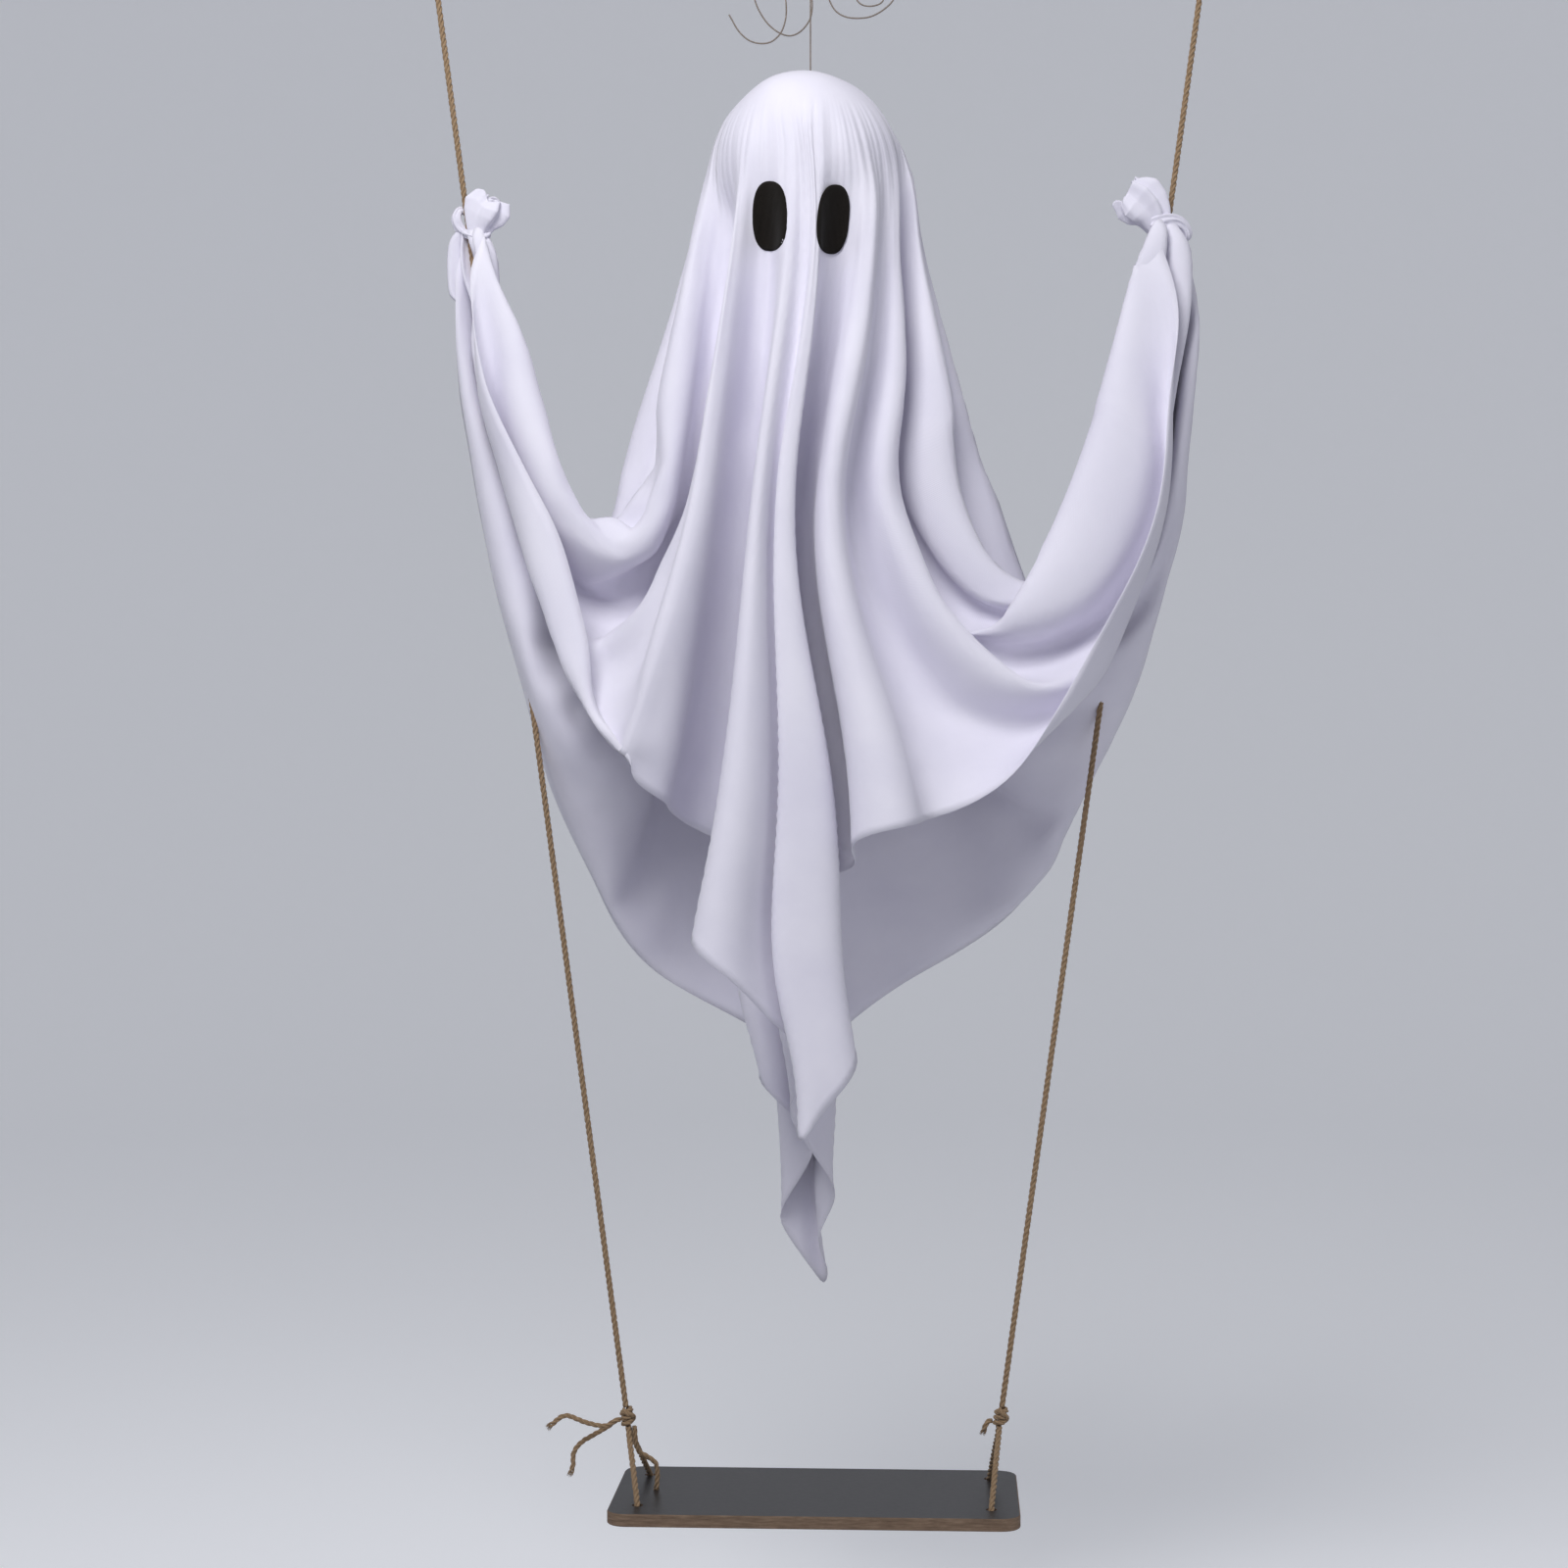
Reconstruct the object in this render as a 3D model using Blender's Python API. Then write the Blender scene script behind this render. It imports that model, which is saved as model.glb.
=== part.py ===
"""Hanging fabric ghost: a sheet over a foam ball, its corners knotted to the ropes of a swing.

Metres, +Z up, -Y is the front. The origin is the middle of the centre ceiling plate's top face.
"""

import math

import bmesh
import bpy
from mathutils import Matrix, Vector

# Fits
FIT_GAP = 0.0003
CHANNEL_GAP = 0.0004
HOLE_SIDES = 16

# Ceiling hooks, each a round plate with a welded J of wire
PLATE_RADIUS = 0.020
PLATE_THICKNESS = 0.003
SCREW_HOLE_RADIUS = 0.0021
SCREW_HOLE_OFFSET = 0.0135
HOOK_WIRE_RADIUS = 0.00175
HOOK_BEND_RADIUS = 0.009
HOOK_DROP = 0.030
HOOK_TIP_RISE = 0.004
LEFT_HOOK_X = -0.3670
RIGHT_HOOK_X = 0.3833

# Ropes
ROPE_RADIUS = 0.003
KNOT_CORE = 0.0037
TOP_KNOT_TURNS = 2
SEAT_KNOT_TURNS = 3
EYE_LENGTH = 0.024
LEFT_KNOT_X = -0.1777
RIGHT_KNOT_X = 0.1843
BRIDLE_HEIGHT = 0.073

# Seat board
SEAT_DROP = 1.521
SEAT_X = 0.006
SEAT_TURN = math.radians(-3.0)
SEAT_WIDTH = 0.390
SEAT_DEPTH = 0.200
SEAT_THICKNESS = 0.012
SEAT_CORNER_RADIUS = 0.019
SEAT_EDGE_RADIUS = 0.001
SEAT_HOLE_RADIUS = 0.0055
SEAT_HOLE_X = 0.168
SEAT_HOLE_Y = 0.063

# Head
BALL_RADIUS = 0.0882
BALL_DROP = 0.2374
BALL_X = -0.0043
BALL_HOLE_RADIUS = 0.0016
LINE_RADIUS = 0.00075
LINE_EYE_LENGTH = 0.011
LINE_KNOT_RADIUS = 0.0022
BUTTON_RADIUS = 0.011
BUTTON_THICKNESS = 0.003
EYE_HALF_WIDTH = 0.0160
EYE_HALF_HEIGHT = 0.0325
EYE_THICKNESS = 0.0015
EYE_DROP = 0.0655
LEFT_EYE_X = -0.0350
RIGHT_EYE_X = 0.0245
RIGHT_EYE_TILT = math.radians(-5.0)

# Sheet
SHEET_THICKNESS = 0.0012
DRAPE_GAP = 0.0022
FRONT_LEAN = 0.030
BACK_LEAN = -0.045
ARM_DEPTH = 0.062
GATHER_DEPTH = 0.0085
FOLD_RADIUS = 0.006
FLARE = 0.29
LEFT_HAND_DROP = 0.301
RIGHT_HAND_DROP = 0.295
PLEAT_DEPTH = 0.036
SWAG_DEPTH = 0.005

# Outline points are (share of the reach from the head to the rope, drop below the ceiling).
# The upper edge runs from each hand down the arm to the crotch and up the shoulder.
LEFT_UPPER_EDGE = [(0.967, 0.309), (0.851, 0.379), (0.790, 0.455), (0.708, 0.531), (0.630, 0.572),
                   (0.554, 0.531), (0.484, 0.455), (0.383, 0.341), (0.319, 0.265)]
RIGHT_UPPER_EDGE = [(0.300, 0.265), (0.359, 0.341), (0.433, 0.455), (0.519, 0.531), (0.630, 0.597),
                    (0.693, 0.569), (0.769, 0.493), (0.858, 0.379), (0.964, 0.305)]
HEAD_ANGLES = [168, 141, 115, 90, 65, 43, 22, 2]
FRONT_HEM = [(-1.006, 0.314), (-1.007, 0.393), (-0.989, 0.491), (-0.951, 0.595), (-0.832, 0.734),
             (-0.627, 0.794), (-0.457, 0.820), (-0.302, 0.828), (-0.265, 0.880), (-0.218, 0.943),
             (-0.145, 1.015), (-0.148, 1.154), (-0.032, 1.109), (0.031, 1.059), (0.073, 0.953),
             (0.119, 0.914), (0.228, 0.889), (0.340, 0.874), (0.458, 0.821), (0.564, 0.799),
             (0.658, 0.743), (0.726, 0.716), (0.822, 0.687), (0.935, 0.575), (1.020, 0.403),
             (1.015, 0.316)]
BACK_HEM = [(-1.005, 0.313), (-1.015, 0.393), (-1.011, 0.496), (-0.974, 0.601), (-0.873, 0.737),
            (-0.785, 0.835), (-0.697, 0.904), (-0.548, 0.993), (-0.398, 1.047), (-0.247, 1.089),
            (-0.096, 1.151), (-0.065, 1.243), (0.057, 1.342), (0.096, 1.243), (0.142, 1.131),
            (0.198, 1.093), (0.361, 1.022), (0.502, 0.990), (0.613, 0.963), (0.752, 0.904),
            (0.821, 0.835), (0.917, 0.776), (0.975, 0.698), (1.062, 0.582), (1.108, 0.402),
            (1.054, 0.313)]
LEFT_CROTCH = 4
RIGHT_CROTCH = 21
LAST_GUIDE = 25
# Each fold is (guide number of its crest, half width in guides, share of the pleat depth).
FRONT_FOLDS = [(6.7, 1.0, 2.1), (9.6, 0.9, -1.7), (12.0, 1.0, 0.5), (14.3, 0.8, -1.3),
               (16.9, 1.0, 1.6), (19.6, 0.8, 0.7)]
BACK_FOLDS = [(8.1, 0.9, 1.7), (11.0, 1.1, -1.3), (14.0, 0.9, 1.2), (16.3, 0.8, -0.9),
              (18.7, 0.8, 1.5)]
ARM_COLUMNS = 6
BODY_COLUMNS = 32
SHEET_ROWS = 17


def material(name, colour, roughness, metallic=0.0):
    """A plain Principled material."""
    made = bpy.data.materials.new(name)
    made.use_nodes = True
    shader = made.node_tree.nodes["Principled BSDF"]
    shader.inputs["Base Color"].default_value = (*colour, 1.0)
    shader.inputs["Roughness"].default_value = roughness
    shader.inputs["Metallic"].default_value = metallic
    return made


def add(name, data, finish=None):
    """Link an object and give it its material."""
    made = bpy.data.objects.new(name, data)
    bpy.context.scene.collection.objects.link(made)
    if finish:
        data.materials.append(finish)
    return made


def smooth(points, steps):
    """Points on a smooth curve that passes through the given ones, however they are spaced."""
    points = [Vector(p) for p in points]
    ends = [2 * points[0] - points[1], *points, 2 * points[-1] - points[-2]]
    path = []
    for a, b, c, d in zip(ends, ends[1:], ends[2:], ends[3:]):
        t1 = math.sqrt((b - a).length)
        t2 = t1 + math.sqrt((c - b).length)
        t3 = t2 + math.sqrt((d - c).length)
        for k in range(steps):
            t = t1 + (t2 - t1) * k / steps
            ab = a.lerp(b, t / t1)
            bc = b.lerp(c, (t - t1) / (t2 - t1))
            cd = c.lerp(d, (t - t2) / (t3 - t2))
            path.append(ab.lerp(bc, t / t2).lerp(bc.lerp(cd, (t - t1) / (t3 - t1)),
                                                 (t - t1) / (t2 - t1)))
    path.append(points[-1])
    return path


def tube(name, path, radius, finish, sides=2):
    """A round cord with closed ends along a path."""
    curve = bpy.data.curves.new(name, "CURVE")
    curve.dimensions = "3D"
    curve.bevel_depth = radius
    curve.bevel_resolution = sides
    curve.render_resolution_u = 0
    curve.use_fill_caps = True
    spline = curve.splines.new("POLY")
    spline.points.add(len(path) - 1)
    for point, place in zip(spline.points, path):
        point.co = (*place, 1.0)
    spline.use_smooth = True
    return add(name, curve, finish)


def mesh_of(temporary):
    """The evaluated mesh of an object, which is then removed."""
    shape = temporary.evaluated_get(bpy.context.evaluated_depsgraph_get())
    mesh = bpy.data.meshes.new_from_object(shape)
    bpy.data.objects.remove(temporary)
    return mesh


def cylinder_mesh(name, radius, start, end, sides=HOLE_SIDES):
    """A closed cylinder between two points."""
    start = Vector(start)
    end = Vector(end)
    turn = (end - start).to_track_quat("Z", "Y").to_matrix().to_4x4()
    place = Matrix.Translation((start + end) / 2) @ turn
    bm = bmesh.new()
    bmesh.ops.create_cone(bm, cap_ends=True, segments=sides, radius1=radius, radius2=radius,
                          depth=(end - start).length, matrix=place)
    mesh = bpy.data.meshes.new(name)
    bm.to_mesh(mesh)
    bm.free()
    return mesh


def combine(target, name, mesh, operation):
    """Join or cut a target with a hidden helper mesh."""
    helper = add(name, mesh)
    helper.hide_render = True
    helper.display_type = "WIRE"
    step = target.modifiers.new(name, "BOOLEAN")
    step.operation = operation
    step.solver = "EXACT"
    step.object = helper


def shade(target, degrees=35.0):
    """Smooth shading with sharp edges kept."""
    target.data.shade_smooth()
    target.data.set_sharp_from_angle(angle=math.radians(degrees))


KNOT_DROP = SEAT_DROP - BRIDLE_HEIGHT
SIDES = {
    "left": {"hook": Vector((LEFT_HOOK_X, 0, -HOOK_DROP)), "hand": LEFT_HAND_DROP,
             "knot": Vector((LEFT_KNOT_X, 0, -KNOT_DROP))},
    "right": {"hook": Vector((RIGHT_HOOK_X, 0, -HOOK_DROP)), "hand": RIGHT_HAND_DROP,
              "knot": Vector((RIGHT_KNOT_X, 0, -KNOT_DROP))},
}
for values in SIDES.values():
    values["along"] = (values["knot"] - values["hook"]).normalized()


def rope_at(side, drop):
    """The rope's middle at a drop below the ceiling."""
    hook = SIDES[side]["hook"]
    along = SIDES[side]["along"]
    return hook + along * ((-drop - hook.z) / along.z)


def build_hook(name, x, finish):
    """A ceiling plate with two screw holes and a J of wire whose bend carries a loop."""
    bend_z = -HOOK_DROP + HOOK_BEND_RADIUS
    neck_z = -PLATE_THICKNESS * 1.5
    route = [(0, 0, -PLATE_THICKNESS / 2), (0, 0, neck_z),
             (HOOK_BEND_RADIUS * 0.5, 0, (neck_z + bend_z) / 2), (HOOK_BEND_RADIUS, 0, bend_z)]
    route = smooth(route, 2)
    for step in range(1, 9):
        angle = math.pi * step / 8
        route.append(Vector((HOOK_BEND_RADIUS * math.cos(angle), 0,
                             bend_z - HOOK_BEND_RADIUS * math.sin(angle))))
    route.append(Vector((-HOOK_BEND_RADIUS, 0, bend_z + HOOK_TIP_RISE)))
    wire = mesh_of(tube("wire", route, HOOK_WIRE_RADIUS, finish))
    plate = cylinder_mesh(name, PLATE_RADIUS, (0, 0, -PLATE_THICKNESS), (0, 0, 0), 32)
    hook = add(name, plate, finish)
    combine(hook, name + "_wire", wire, "UNION")
    bpy.data.objects[name + "_wire"].parent = hook
    for number, y in enumerate((-SCREW_HOLE_OFFSET, SCREW_HOLE_OFFSET)):
        hole = cylinder_mesh("hole", SCREW_HOLE_RADIUS, (0, y, -2 * PLATE_THICKNESS),
                             (0, y, PLATE_THICKNESS))
        combine(hook, f"{name}_hole_{number}", hole, "DIFFERENCE")
        bpy.data.objects[f"{name}_hole_{number}"].parent = hook
    hook.location.x = x
    shade(hook)
    return hook


def knot_length(turns):
    """Turns of rope lie side by side."""
    return 2 * ROPE_RADIUS * turns


def build_knot(name, centre, along, turns, finish):
    """A knot as closed turns of rope round its own rope."""
    outline = []
    for turn in range(turns):
        middle = ROPE_RADIUS * (2 * turn + 1) - knot_length(turns) / 2
        for step in range(5):
            if turn and not step:
                continue
            angle = math.pi * step / 4
            outline.append((KNOT_CORE + ROPE_RADIUS * math.sin(angle),
                            middle - ROPE_RADIUS * math.cos(angle)))
    bm = bmesh.new()
    rings = []
    count = 12
    for radius, height in outline:
        rings.append([bm.verts.new((radius * math.cos(2 * math.pi * k / count),
                                    radius * math.sin(2 * math.pi * k / count), height))
                      for k in range(count)])
    for low, high in zip(rings, rings[1:]):
        for k in range(count):
            bm.faces.new((low[k], low[(k + 1) % count], high[(k + 1) % count], high[k]))
    bm.faces.new(list(reversed(rings[0])))
    bm.faces.new(rings[-1])
    mesh = bpy.data.meshes.new(name)
    bm.to_mesh(mesh)
    bm.free()
    knot = add(name, mesh, finish)
    knot.location = centre
    knot.rotation_euler = along.to_track_quat("Z", "Y").to_euler()
    shade(knot)
    return knot


def eye_route(hook, along, wire_radius, cord_radius, length):
    """A loop of cord over the hook's wire, whose two legs end side by side."""
    reach = wire_radius + FIT_GAP + cord_radius
    leg = cord_radius + FIT_GAP / 2
    side = Vector((0, 1, 0))
    down = [(-leg, length), (-leg, length * 0.8), (-reach * 0.93, length * 0.42),
            (-reach * 1.02, length * 0.16)]
    bend = reach * 1.03
    over = [(bend * math.sin(math.radians(a)), -bend * math.cos(math.radians(a)))
            for a in range(-90, 91, 30)]
    up = [(-y, s) for y, s in reversed(down)]
    return [hook + side * y + along * s for y, s in down + over + up]


def build_ropes(finish):
    """Each rope: loop on its hook, knot, taut run, seat knot, bridle and loose ends."""
    top_length = knot_length(TOP_KNOT_TURNS)
    seat_half = knot_length(SEAT_KNOT_TURNS) / 2
    for side, values in SIDES.items():
        hook = values["hook"]
        along = values["along"]
        route = eye_route(hook, along, HOOK_WIRE_RADIUS, ROPE_RADIUS, EYE_LENGTH)
        tube(f"rope_{side}_eye", route, ROPE_RADIUS, finish)
        knot_centre = hook + along * (EYE_LENGTH + FIT_GAP + top_length / 2)
        build_knot(f"rope_{side}_top_knot", knot_centre, along, TOP_KNOT_TURNS, finish)
        start = knot_centre + along * (top_length / 2 + FIT_GAP)
        end = values["knot"] - along * (seat_half + FIT_GAP)
        taut = [start.lerp(end, k / 40) for k in range(41)]
        tube(f"rope_{side}", taut, ROPE_RADIUS, finish)
        build_knot(f"rope_{side}_seat_knot", values["knot"], along, SEAT_KNOT_TURNS, finish)
        tube(f"rope_{side}_bridle", bridle_route(side), ROPE_RADIUS, finish)
    for name, route in tail_routes().items():
        tube(name, smooth(route, 2), ROPE_RADIUS * 0.85, finish)


def seat_point(x, y, z):
    """A point of the seat board in the row's frame, z from its top face."""
    turned = Matrix.Rotation(SEAT_TURN, 3, "Z") @ Vector((x, y, 0))
    return Vector((SEAT_X + turned.x, turned.y, z - SEAT_DROP))


def bridle_route(side):
    """From the knot through the front hole, under the board and up through the back hole."""
    hole_x = -SEAT_HOLE_X if side == "left" else SEAT_HOLE_X
    along = SIDES[side]["along"]
    foot = SIDES[side]["knot"] + along * (knot_length(SEAT_KNOT_TURNS) / 2 + FIT_GAP)
    under = -SEAT_THICKNESS - ROPE_RADIUS - FIT_GAP
    halves = []
    for sign in (-1, 1):
        start = foot + Vector((0, sign * (ROPE_RADIUS + FIT_GAP / 2), 0))
        bend = start + along * ROPE_RADIUS
        top = seat_point(hole_x, sign * SEAT_HOLE_Y, 0.0)
        leg = [start, bend, bend.lerp(top, 0.12) - Vector((0, 0, 0.0016)), bend.lerp(top, 0.35),
               bend.lerp(top, 0.7), bend.lerp(top, 0.92)]
        edge = [seat_point(hole_x, sign * (SEAT_HOLE_Y + 0.0010), -0.0010),
                seat_point(hole_x, sign * (SEAT_HOLE_Y + 0.0010), -SEAT_THICKNESS * 0.6),
                seat_point(hole_x, sign * (SEAT_HOLE_Y - 0.0004), -SEAT_THICKNESS),
                seat_point(hole_x, sign * (SEAT_HOLE_Y - 0.0020), under + 0.0008),
                seat_point(hole_x, sign * (SEAT_HOLE_Y - 0.0062), under - FIT_GAP),
                seat_point(hole_x, sign * (SEAT_HOLE_Y - 0.0200), under)]
        halves.append(leg + edge)
    return smooth(halves[0] + list(reversed(halves[1])), 2)


def tail_routes():
    """Loose rope ends beside the seat knots, as offsets from the knot's middle."""
    reach = KNOT_CORE + ROPE_RADIUS
    left = SIDES["left"]["knot"]
    right = SIDES["right"]["knot"]
    long_end = [(-reach + 0.0001, -0.0030, -0.0020), (-0.0115, -0.0036, -0.0034),
                (-0.0200, -0.0052, -0.0080), (-0.0330, -0.0060, -0.0064),
                (-0.0430, -0.0052, -0.0036), (-0.0600, -0.0040, 0.0016),
                (-0.0745, -0.0030, -0.0084)]
    low_end = [(-reach - 0.0002, 0.0025, -0.0030), (-0.0115, 0.0034, -0.0050),
               (-0.0190, 0.0054, -0.0110), (-0.0320, 0.0080, -0.0190),
               (-0.0460, 0.0090, -0.0280), (-0.0525, 0.0090, -0.0375),
               (-0.0530, 0.0080, -0.0490), (-0.0550, 0.0070, -0.0560)]
    foot = knot_length(SEAT_KNOT_TURNS) / 2 + FIT_GAP
    board = BRIDLE_HEIGHT - 3 * FIT_GAP
    back_end = [(0.0073, 0.0, -foot), (0.0074, 0.0, -foot - ROPE_RADIUS),
                (0.0080, 0.0006, -0.0220), (0.0092, 0.0030, -0.0300), (0.0120, 0.0060, -0.0360),
                (0.0180, 0.0080, -0.0400), (0.0270, 0.0090, -0.0470), (0.0290, 0.0090, -0.0570),
                (0.0280, 0.0080, -board)]
    stub = [(-reach - 0.0014, 0.0010, -0.0040), (-0.0118, 0.0012, -0.0050),
            (-0.0148, 0.0012, -0.0098), (-0.0165, 0.0012, -0.0145)]
    return {
        "rope_left_tail_long": [left + Vector(p) for p in long_end],
        "rope_left_tail_low": [left + Vector(p) for p in low_end],
        "rope_left_tail_back": [left + Vector(p) for p in back_end],
        "rope_right_tail": [right + Vector(p) for p in stub],
    }


def build_seat(finish):
    """A board with round corners, eased edges and four rope holes."""
    bm = bmesh.new()
    corner = SEAT_CORNER_RADIUS
    outline = []
    for x, y, start in ((1, 1, 0), (-1, 1, 90), (-1, -1, 180), (1, -1, 270)):
        for step in range(7):
            angle = math.radians(start + 15 * step)
            outline.append((x * (SEAT_WIDTH / 2 - corner) + corner * math.cos(angle),
                            y * (SEAT_DEPTH / 2 - corner) + corner * math.sin(angle)))
    face = bm.faces.new([bm.verts.new((x, y, -SEAT_THICKNESS)) for x, y in outline])
    bmesh.ops.recalc_face_normals(bm, faces=[face])
    top = bmesh.ops.extrude_face_region(bm, geom=[face])
    moved = [item for item in top["geom"] if isinstance(item, bmesh.types.BMVert)]
    bmesh.ops.translate(bm, verts=moved, vec=(0, 0, SEAT_THICKNESS))
    bmesh.ops.recalc_face_normals(bm, faces=bm.faces)
    mesh = bpy.data.meshes.new("seat_board")
    bm.to_mesh(mesh)
    bm.free()
    seat = add("seat_board", mesh, finish)
    seat.location = (SEAT_X, 0, -SEAT_DROP)
    seat.rotation_euler.z = SEAT_TURN
    easing = seat.modifiers.new("eased_edges", "BEVEL")
    easing.width = SEAT_EDGE_RADIUS
    easing.segments = 1
    easing.limit_method = "ANGLE"
    easing.angle_limit = math.radians(60)
    for number, (x, y) in enumerate(((-1, -1), (1, -1), (-1, 1), (1, 1))):
        hole = cylinder_mesh("hole", SEAT_HOLE_RADIUS,
                             (x * SEAT_HOLE_X, y * SEAT_HOLE_Y, -2 * SEAT_THICKNESS),
                             (x * SEAT_HOLE_X, y * SEAT_HOLE_Y, SEAT_THICKNESS))
        combine(seat, f"seat_hole_{number}", hole, "DIFFERENCE")
        bpy.data.objects[f"seat_hole_{number}"].parent = seat
    shade(seat)
    return seat


HEAD = Vector((BALL_X, 0, -BALL_DROP))
HEAD_RADIUS = BALL_RADIUS + DRAPE_GAP + SHEET_THICKNESS
LEFT_REACH = BALL_X - rope_at("left", LEFT_HAND_DROP).x
RIGHT_REACH = rope_at("right", RIGHT_HAND_DROP).x - BALL_X


def outline_point(share, drop):
    """A point of an outline in the plane of the ropes."""
    reach = RIGHT_REACH if share > 0 else LEFT_REACH
    return Vector((BALL_X + share * reach, 0, -drop))


def upper_edge():
    """The sheet's upper outline, from the left hand over the head to the right hand."""
    left = [outline_point(-share, drop) for share, drop in LEFT_UPPER_EDGE]
    head = [HEAD + HEAD_RADIUS * Vector((math.cos(math.radians(a)), 0, math.sin(math.radians(a))))
            for a in HEAD_ANGLES]
    right = [outline_point(share, drop) for share, drop in RIGHT_UPPER_EDGE]
    return left + head + right


UPPER = upper_edge()
FRONT = [outline_point(*point) for point in FRONT_HEM]
BACK = [outline_point(*point) for point in BACK_HEM]


def guide(points, u):
    """A smooth curve through guide points, at a guide number that may be a fraction."""
    k = min(int(u), len(points) - 2)
    t = u - k
    b, c = points[k], points[k + 1]
    a = points[k - 1] if k else 2 * b - c
    d = points[k + 2] if k + 2 < len(points) else 2 * c - b
    return 0.5 * (2 * b + (c - a) * t + (2 * a - 5 * b + 4 * c - d) * t ** 2
                  + (3 * b - a - 3 * c + d) * t ** 3)


def ramp(low, high, value):
    """A smooth step from 0 at low to 1 at high."""
    t = min(1.0, max(0.0, (value - low) / (high - low)))
    return t * t * (3 - 2 * t)


def half_width(x, z):
    """Half the body's width at a height, on the side that x is on."""
    rise = z - HEAD.z
    if rise >= 0:
        return math.sqrt(max(0.0, HEAD_RADIUS ** 2 - rise ** 2))
    points = UPPER[LEFT_CROTCH + 1:9][::-1] if x < HEAD.x else UPPER[17:RIGHT_CROTCH]
    widths = [(HEAD.z, HEAD_RADIUS)] + [(p.z, abs(p.x - HEAD.x)) for p in points]
    for (z0, w0), (z1, w1) in zip(widths, widths[1:]):
        if z >= z1:
            return w0 + (w1 - w0) * (z0 - z) / (z0 - z1)
    return widths[-1][1] + FLARE * (widths[-1][0] - z)


def body_depth(x, z, lean):
    """How far the sheet stands from the ropes' plane over the head and the body."""
    half = half_width(x, z)
    if half <= 0:
        return 0.0
    middle = half if z >= HEAD.z else HEAD_RADIUS + lean * (HEAD.z - z)
    across = min(1.0, abs(x - HEAD.x) / half)
    return middle * math.sqrt(1 - across ** 2)


def rounding(s, radius):
    """The profile of a fold of a given radius, at a distance from its crest."""
    t = min(1.0, s / radius)
    return radius * math.sqrt(1 - (1 - t) ** 2)


def arm_share(u):
    """0 on the body and 1 on an arm, for a guide number."""
    return max(1 - ramp(LEFT_CROTCH - 0.4, LEFT_CROTCH + 1.6, u),
               ramp(RIGHT_CROTCH - 1.6, RIGHT_CROTCH + 0.4, u))


def folds(u, s, pattern):
    """Pleats that run down the body, deeper towards the hem."""
    total = 0.0
    for crest, half, share in pattern:
        total += share * math.exp(-((u - crest) / half) ** 2)
    return PLEAT_DEPTH * total * ramp(0.20, 0.55, s) * (1 - arm_share(u))


def swags(u, v):
    """Shallow hanging folds below each crotch."""
    near = max(math.exp(-((u - LEFT_CROTCH - 0.3) / 1.5) ** 2),
               math.exp(-((u - RIGHT_CROTCH + 0.3) / 1.5) ** 2))
    return SWAG_DEPTH * math.sin(6 * math.pi * v) * near * ramp(0.0, 0.25, v)


def sheet_point(u, q, hem, side, lean, pattern):
    """A point of the front (side -1) or back (side 1) layer; q runs from 0 to 1 at the hem."""
    top = guide(UPPER, u)
    low = guide(hem, u)
    arm = arm_share(u)
    length = (low - top).length
    start = 0.30 * arm + 0.045 * (1 - arm) / max(length, 0.3)
    power = 1.3 * arm + 2.1 * (1 - arm)
    v = start * q + (1 - start) * q ** power
    place = top.lerp(low, v)
    s = v * length
    hand = min(u, LAST_GUIDE - u) / LEFT_CROTCH
    arm_radius = GATHER_DEPTH + (ARM_DEPTH - GATHER_DEPTH) * min(1.0, hand)
    depth = (1 - arm) * body_depth(place.x, place.z, lean) + arm * rounding(s, arm_radius)
    depth = max(depth + folds(u, s, pattern) + swags(u, v) * ramp(0, 0.03, s),
                rounding(s, FOLD_RADIUS))
    place.y = side * depth
    return place


def sheet_mesh():
    """The two layers, joined along the upper edge and open at the hems."""
    left = [LEFT_CROTCH * k / ARM_COLUMNS for k in range(ARM_COLUMNS)]
    span = RIGHT_CROTCH - LEFT_CROTCH
    middle = [LEFT_CROTCH + span * k / BODY_COLUMNS for k in range(BODY_COLUMNS)]
    right = [RIGHT_CROTCH + LEFT_CROTCH * k / ARM_COLUMNS for k in range(ARM_COLUMNS + 1)]
    columns = left + middle + right
    bm = bmesh.new()
    crest = [bm.verts.new(guide(UPPER, u)) for u in columns]
    for hem, side, lean, pattern in ((FRONT, -1, FRONT_LEAN, FRONT_FOLDS),
                                     (BACK, 1, BACK_LEAN, BACK_FOLDS)):
        rows = [crest]
        for row in range(1, SHEET_ROWS + 1):
            q = row / SHEET_ROWS
            rows.append([bm.verts.new(sheet_point(u, q, hem, side, lean, pattern))
                         for u in columns])
        for upper, lower in zip(rows, rows[1:]):
            for k in range(len(columns) - 1):
                corners = [upper[k], lower[k], lower[k + 1], upper[k + 1]]
                bm.faces.new(corners if side < 0 else corners[::-1])
    mesh = bpy.data.meshes.new("sheet")
    bm.to_mesh(mesh)
    bm.free()
    return mesh


def lump(bm, centre, radii, tilt=0.0):
    """An ellipsoid with radii along its own axes, turned in the ropes' plane."""
    place = (Matrix.Translation(centre) @ Matrix.Rotation(tilt, 4, "Y")
             @ Matrix.Diagonal((*radii, 1.0)))
    bmesh.ops.create_uvsphere(bm, u_segments=10, v_segments=6, radius=1.0, matrix=place)


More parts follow.
